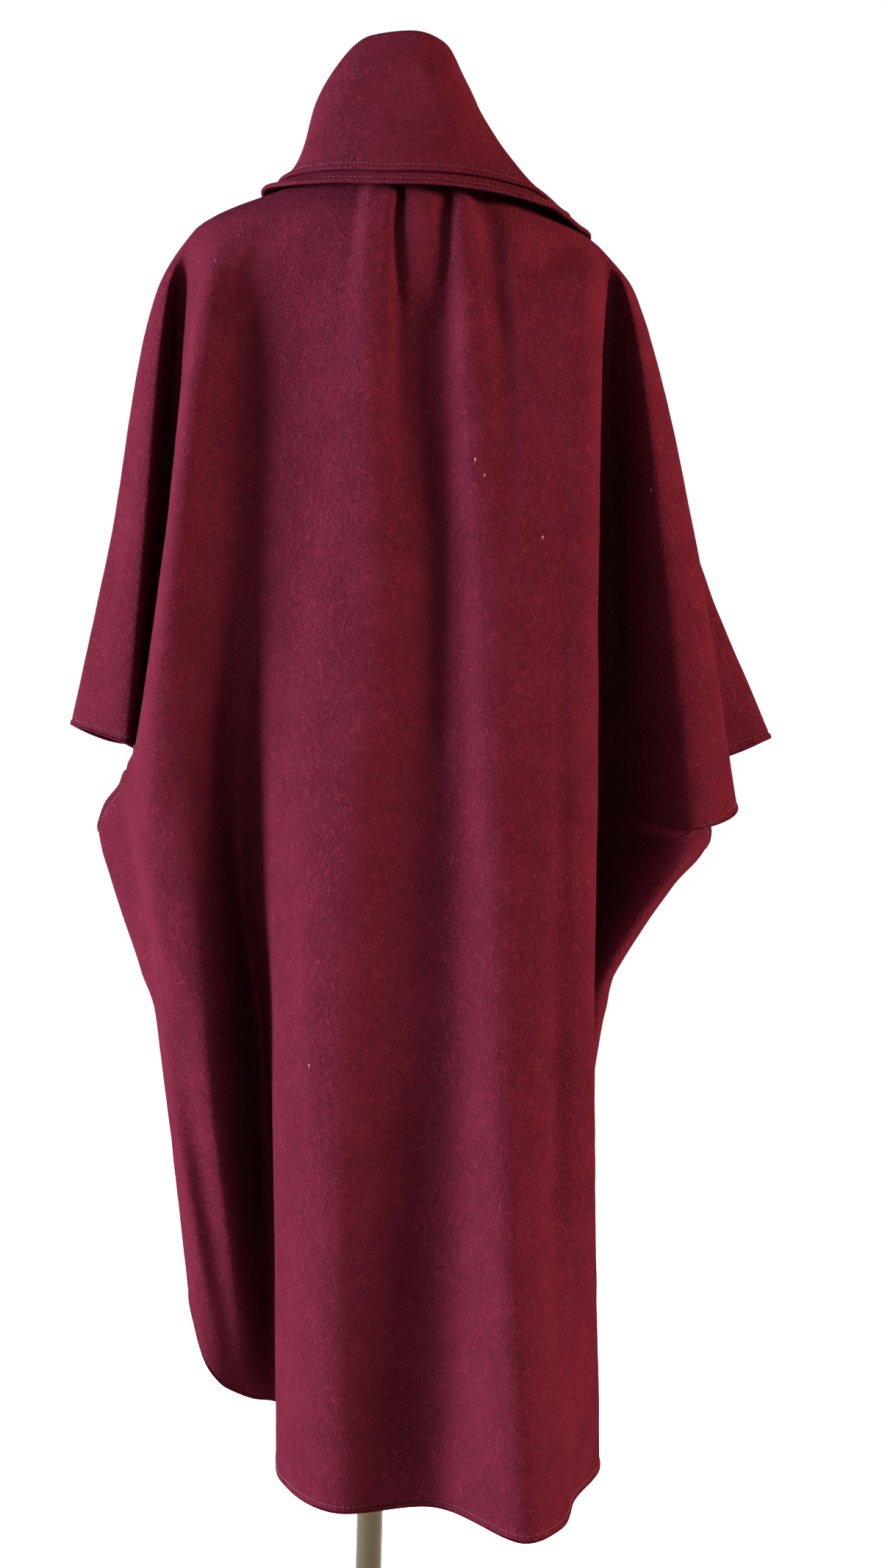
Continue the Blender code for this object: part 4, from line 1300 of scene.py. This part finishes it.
class DRESSFORM_OT_stand(Operator):
    """Makes the form's neck cap, collet, pole and base"""

    bl_idname = "dress_form.stand"
    bl_label = "Make form stand"

    def execute(self, context):
        settings = context.scene.dress_form
        metal = finish("brushed_nickel_plate", satin_metal, settings)
        for node in ("form_neck_cap", "form_collet", "form_pole", "form_base"):
            low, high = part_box(node)
            radius = (high[0] - low[0]) / 2
            edge = min(settings.edge, (high[2] - low[2]) / RIM_RADII_HIGH)
            profile = turned_profile(radius, low[2], high[2], edge)
            piece = turned(node.replace("form", "metal"), profile, settings.round_sides, metal)
            fitted(piece, [node])
        return {"FINISHED"}


# ---- Studio -------------------------------------------------------------------------

# Image height and focal length in pixels, the sensor's height in mm, and the camera's
# place in metres and roll in radians
IMAGE_HEIGHT = 2133
FOCAL_PIXELS = 2835.8
SENSOR_MM = 36
CAMERA_ACROSS = -0.0476
CAMERA_HEIGHT = 0.907
CAMERA_ROLL = 0.026

# The floor's disc: how many sides it has, how far down it reaches, and how far under the
# form's base its top lies
FLOOR_SIDES = 96
FLOOR_DEPTH = 0.02
FLOOR_DROP = 0.0002

# Which way the surround is bright, and the stretch over which it turns bright, from 0
# square to that way to 1 along it
BRIGHT_SIDE = (0.5, -0.87, 0)
BRIGHT_FROM = -0.15
BRIGHT_TO = 0.6

# Round soft lights: place, the height on the form's axis that they face, width, the
# settings that hold their colour and power, and their share of that power
Lamp = namedtuple("Lamp", "name place faces width colour power share")
LAMPS = (
    Lamp("cool_key", (3.6, 1.0, 1.25), 0.85, 1.5, "key", "key_power", 1),
    Lamp("warm_fill", (-2.9, 0.85, 2.0), 0.75, 1.4, "warm", "warm_power", 1),
    Lamp("front_fill", (2.2, -3.0, 1.8), 0.9, 1.8, "key", "key_power", 0.42),
)


def add_lamp(lamp, settings):
    """A round area light at the lamp's place, turned to the form."""
    light = bpy.data.lights.new(lamp.name, "AREA")
    light.shape = "DISK"
    light.size = lamp.width
    light.energy = getattr(settings, lamp.power) * lamp.share
    light.color = getattr(settings, lamp.colour)
    made = bpy.data.objects.new(lamp.name, light)
    made.location = lamp.place
    aim = Vector((0, 0, lamp.faces)) - Vector(lamp.place)
    made.rotation_euler = aim.to_track_quat("-Z", "Y").to_euler()
    bpy.context.scene.collection.objects.link(made)


class STUDIO_OT_stage(Operator):
    """Makes the floor, the light and the camera"""

    bl_idname = "studio.stage"
    bl_label = "Make studio"

    def execute(self, context):
        settings = context.scene.studio
        scene = context.scene
        vinyl = finish("matt_vinyl_floor", studio_floor, settings)
        profile = [(settings.floor_size, -FLOOR_DEPTH), (settings.floor_size, -FLOOR_DROP)]
        floor = turned("studio_floor", profile, FLOOR_SIDES, vinyl)
        world = bpy.data.worlds.new("studio_surround")
        world.use_nodes = True
        tree = world.node_tree
        way = add_node(tree, "ShaderNodeTexCoord").outputs["Generated"]
        toward = add_node(tree, "ShaderNodeVectorMath", {0: way, 1: BRIGHT_SIDE},
                          operation="DOT_PRODUCT")
        strength = add_node(tree, "ShaderNodeMapRange", {
            "Value": toward.outputs["Value"], "From Min": BRIGHT_FROM, "From Max": BRIGHT_TO,
            "To Min": settings.sky_strength, "To Max": settings.backdrop_strength},
            interpolation_type="SMOOTHSTEP")
        surround = tree.nodes["Background"]
        surround.inputs["Color"].default_value = (*settings.sky, 1)
        tree.links.new(strength.outputs[0], surround.inputs["Strength"])
        scene.world = world
        for lamp in LAMPS:
            add_lamp(lamp, settings)
        lens = bpy.data.cameras.new("studio_camera")
        lens.sensor_fit = "VERTICAL"
        lens.sensor_height = SENSOR_MM
        lens.lens = SENSOR_MM * FOCAL_PIXELS / IMAGE_HEIGHT
        camera = bpy.data.objects.new("studio_camera", lens)
        place = Matrix.Translation((CAMERA_ACROSS, settings.distance, CAMERA_HEIGHT))
        facing = Euler((radians(90), 0, radians(180))).to_matrix().to_4x4()
        camera.matrix_world = place @ facing @ Matrix.Rotation(CAMERA_ROLL, 4, "Z")
        scene.collection.objects.link(camera)
        scene.camera = camera
        scene.view_settings.view_transform = "Standard"
        return {"FINISHED"}


# ---- Panel and registration ---------------------------------------------------------

OPERATORS = (CAPECOAT_OT_panels, CAPECOAT_OT_collars, DRESSFORM_OT_torso, DRESSFORM_OT_stand,
             STUDIO_OT_stage)


class VIEW3D_PT_cape_coat(Panel):
    """Lists the coat's operators and settings"""

    bl_label = "Cape Coat"
    bl_space_type = "VIEW_3D"
    bl_region_type = "UI"
    bl_category = "Cape Coat"

    def draw(self, context):
        for operator in OPERATORS:
            self.layout.operator(operator.bl_idname)
        for settings in (context.scene.cape_coat, context.scene.dress_form,
                         context.scene.studio):
            box = self.layout.box()
            for name in settings.__annotations__:
                box.prop(settings, name)


CLASSES = (CapeCoatSettings, DressFormSettings, StudioSettings, *OPERATORS,
           VIEW3D_PT_cape_coat)


def register():
    for each in CLASSES:
        bpy.utils.register_class(each)
    bpy.types.Scene.cape_coat = PointerProperty(type=CapeCoatSettings)
    bpy.types.Scene.dress_form = PointerProperty(type=DressFormSettings)
    bpy.types.Scene.studio = PointerProperty(type=StudioSettings)


def unregister():
    for name in ("cape_coat", "dress_form", "studio"):
        delattr(bpy.types.Scene, name)
    for each in reversed(CLASSES):
        bpy.utils.unregister_class(each)


def main():
    register()
    bpy.ops.cape_coat.panels()
    bpy.ops.cape_coat.collars()
    bpy.ops.dress_form.torso()
    bpy.ops.dress_form.stand()
    bpy.ops.studio.stage()


if __name__ == "__main__":
    main()
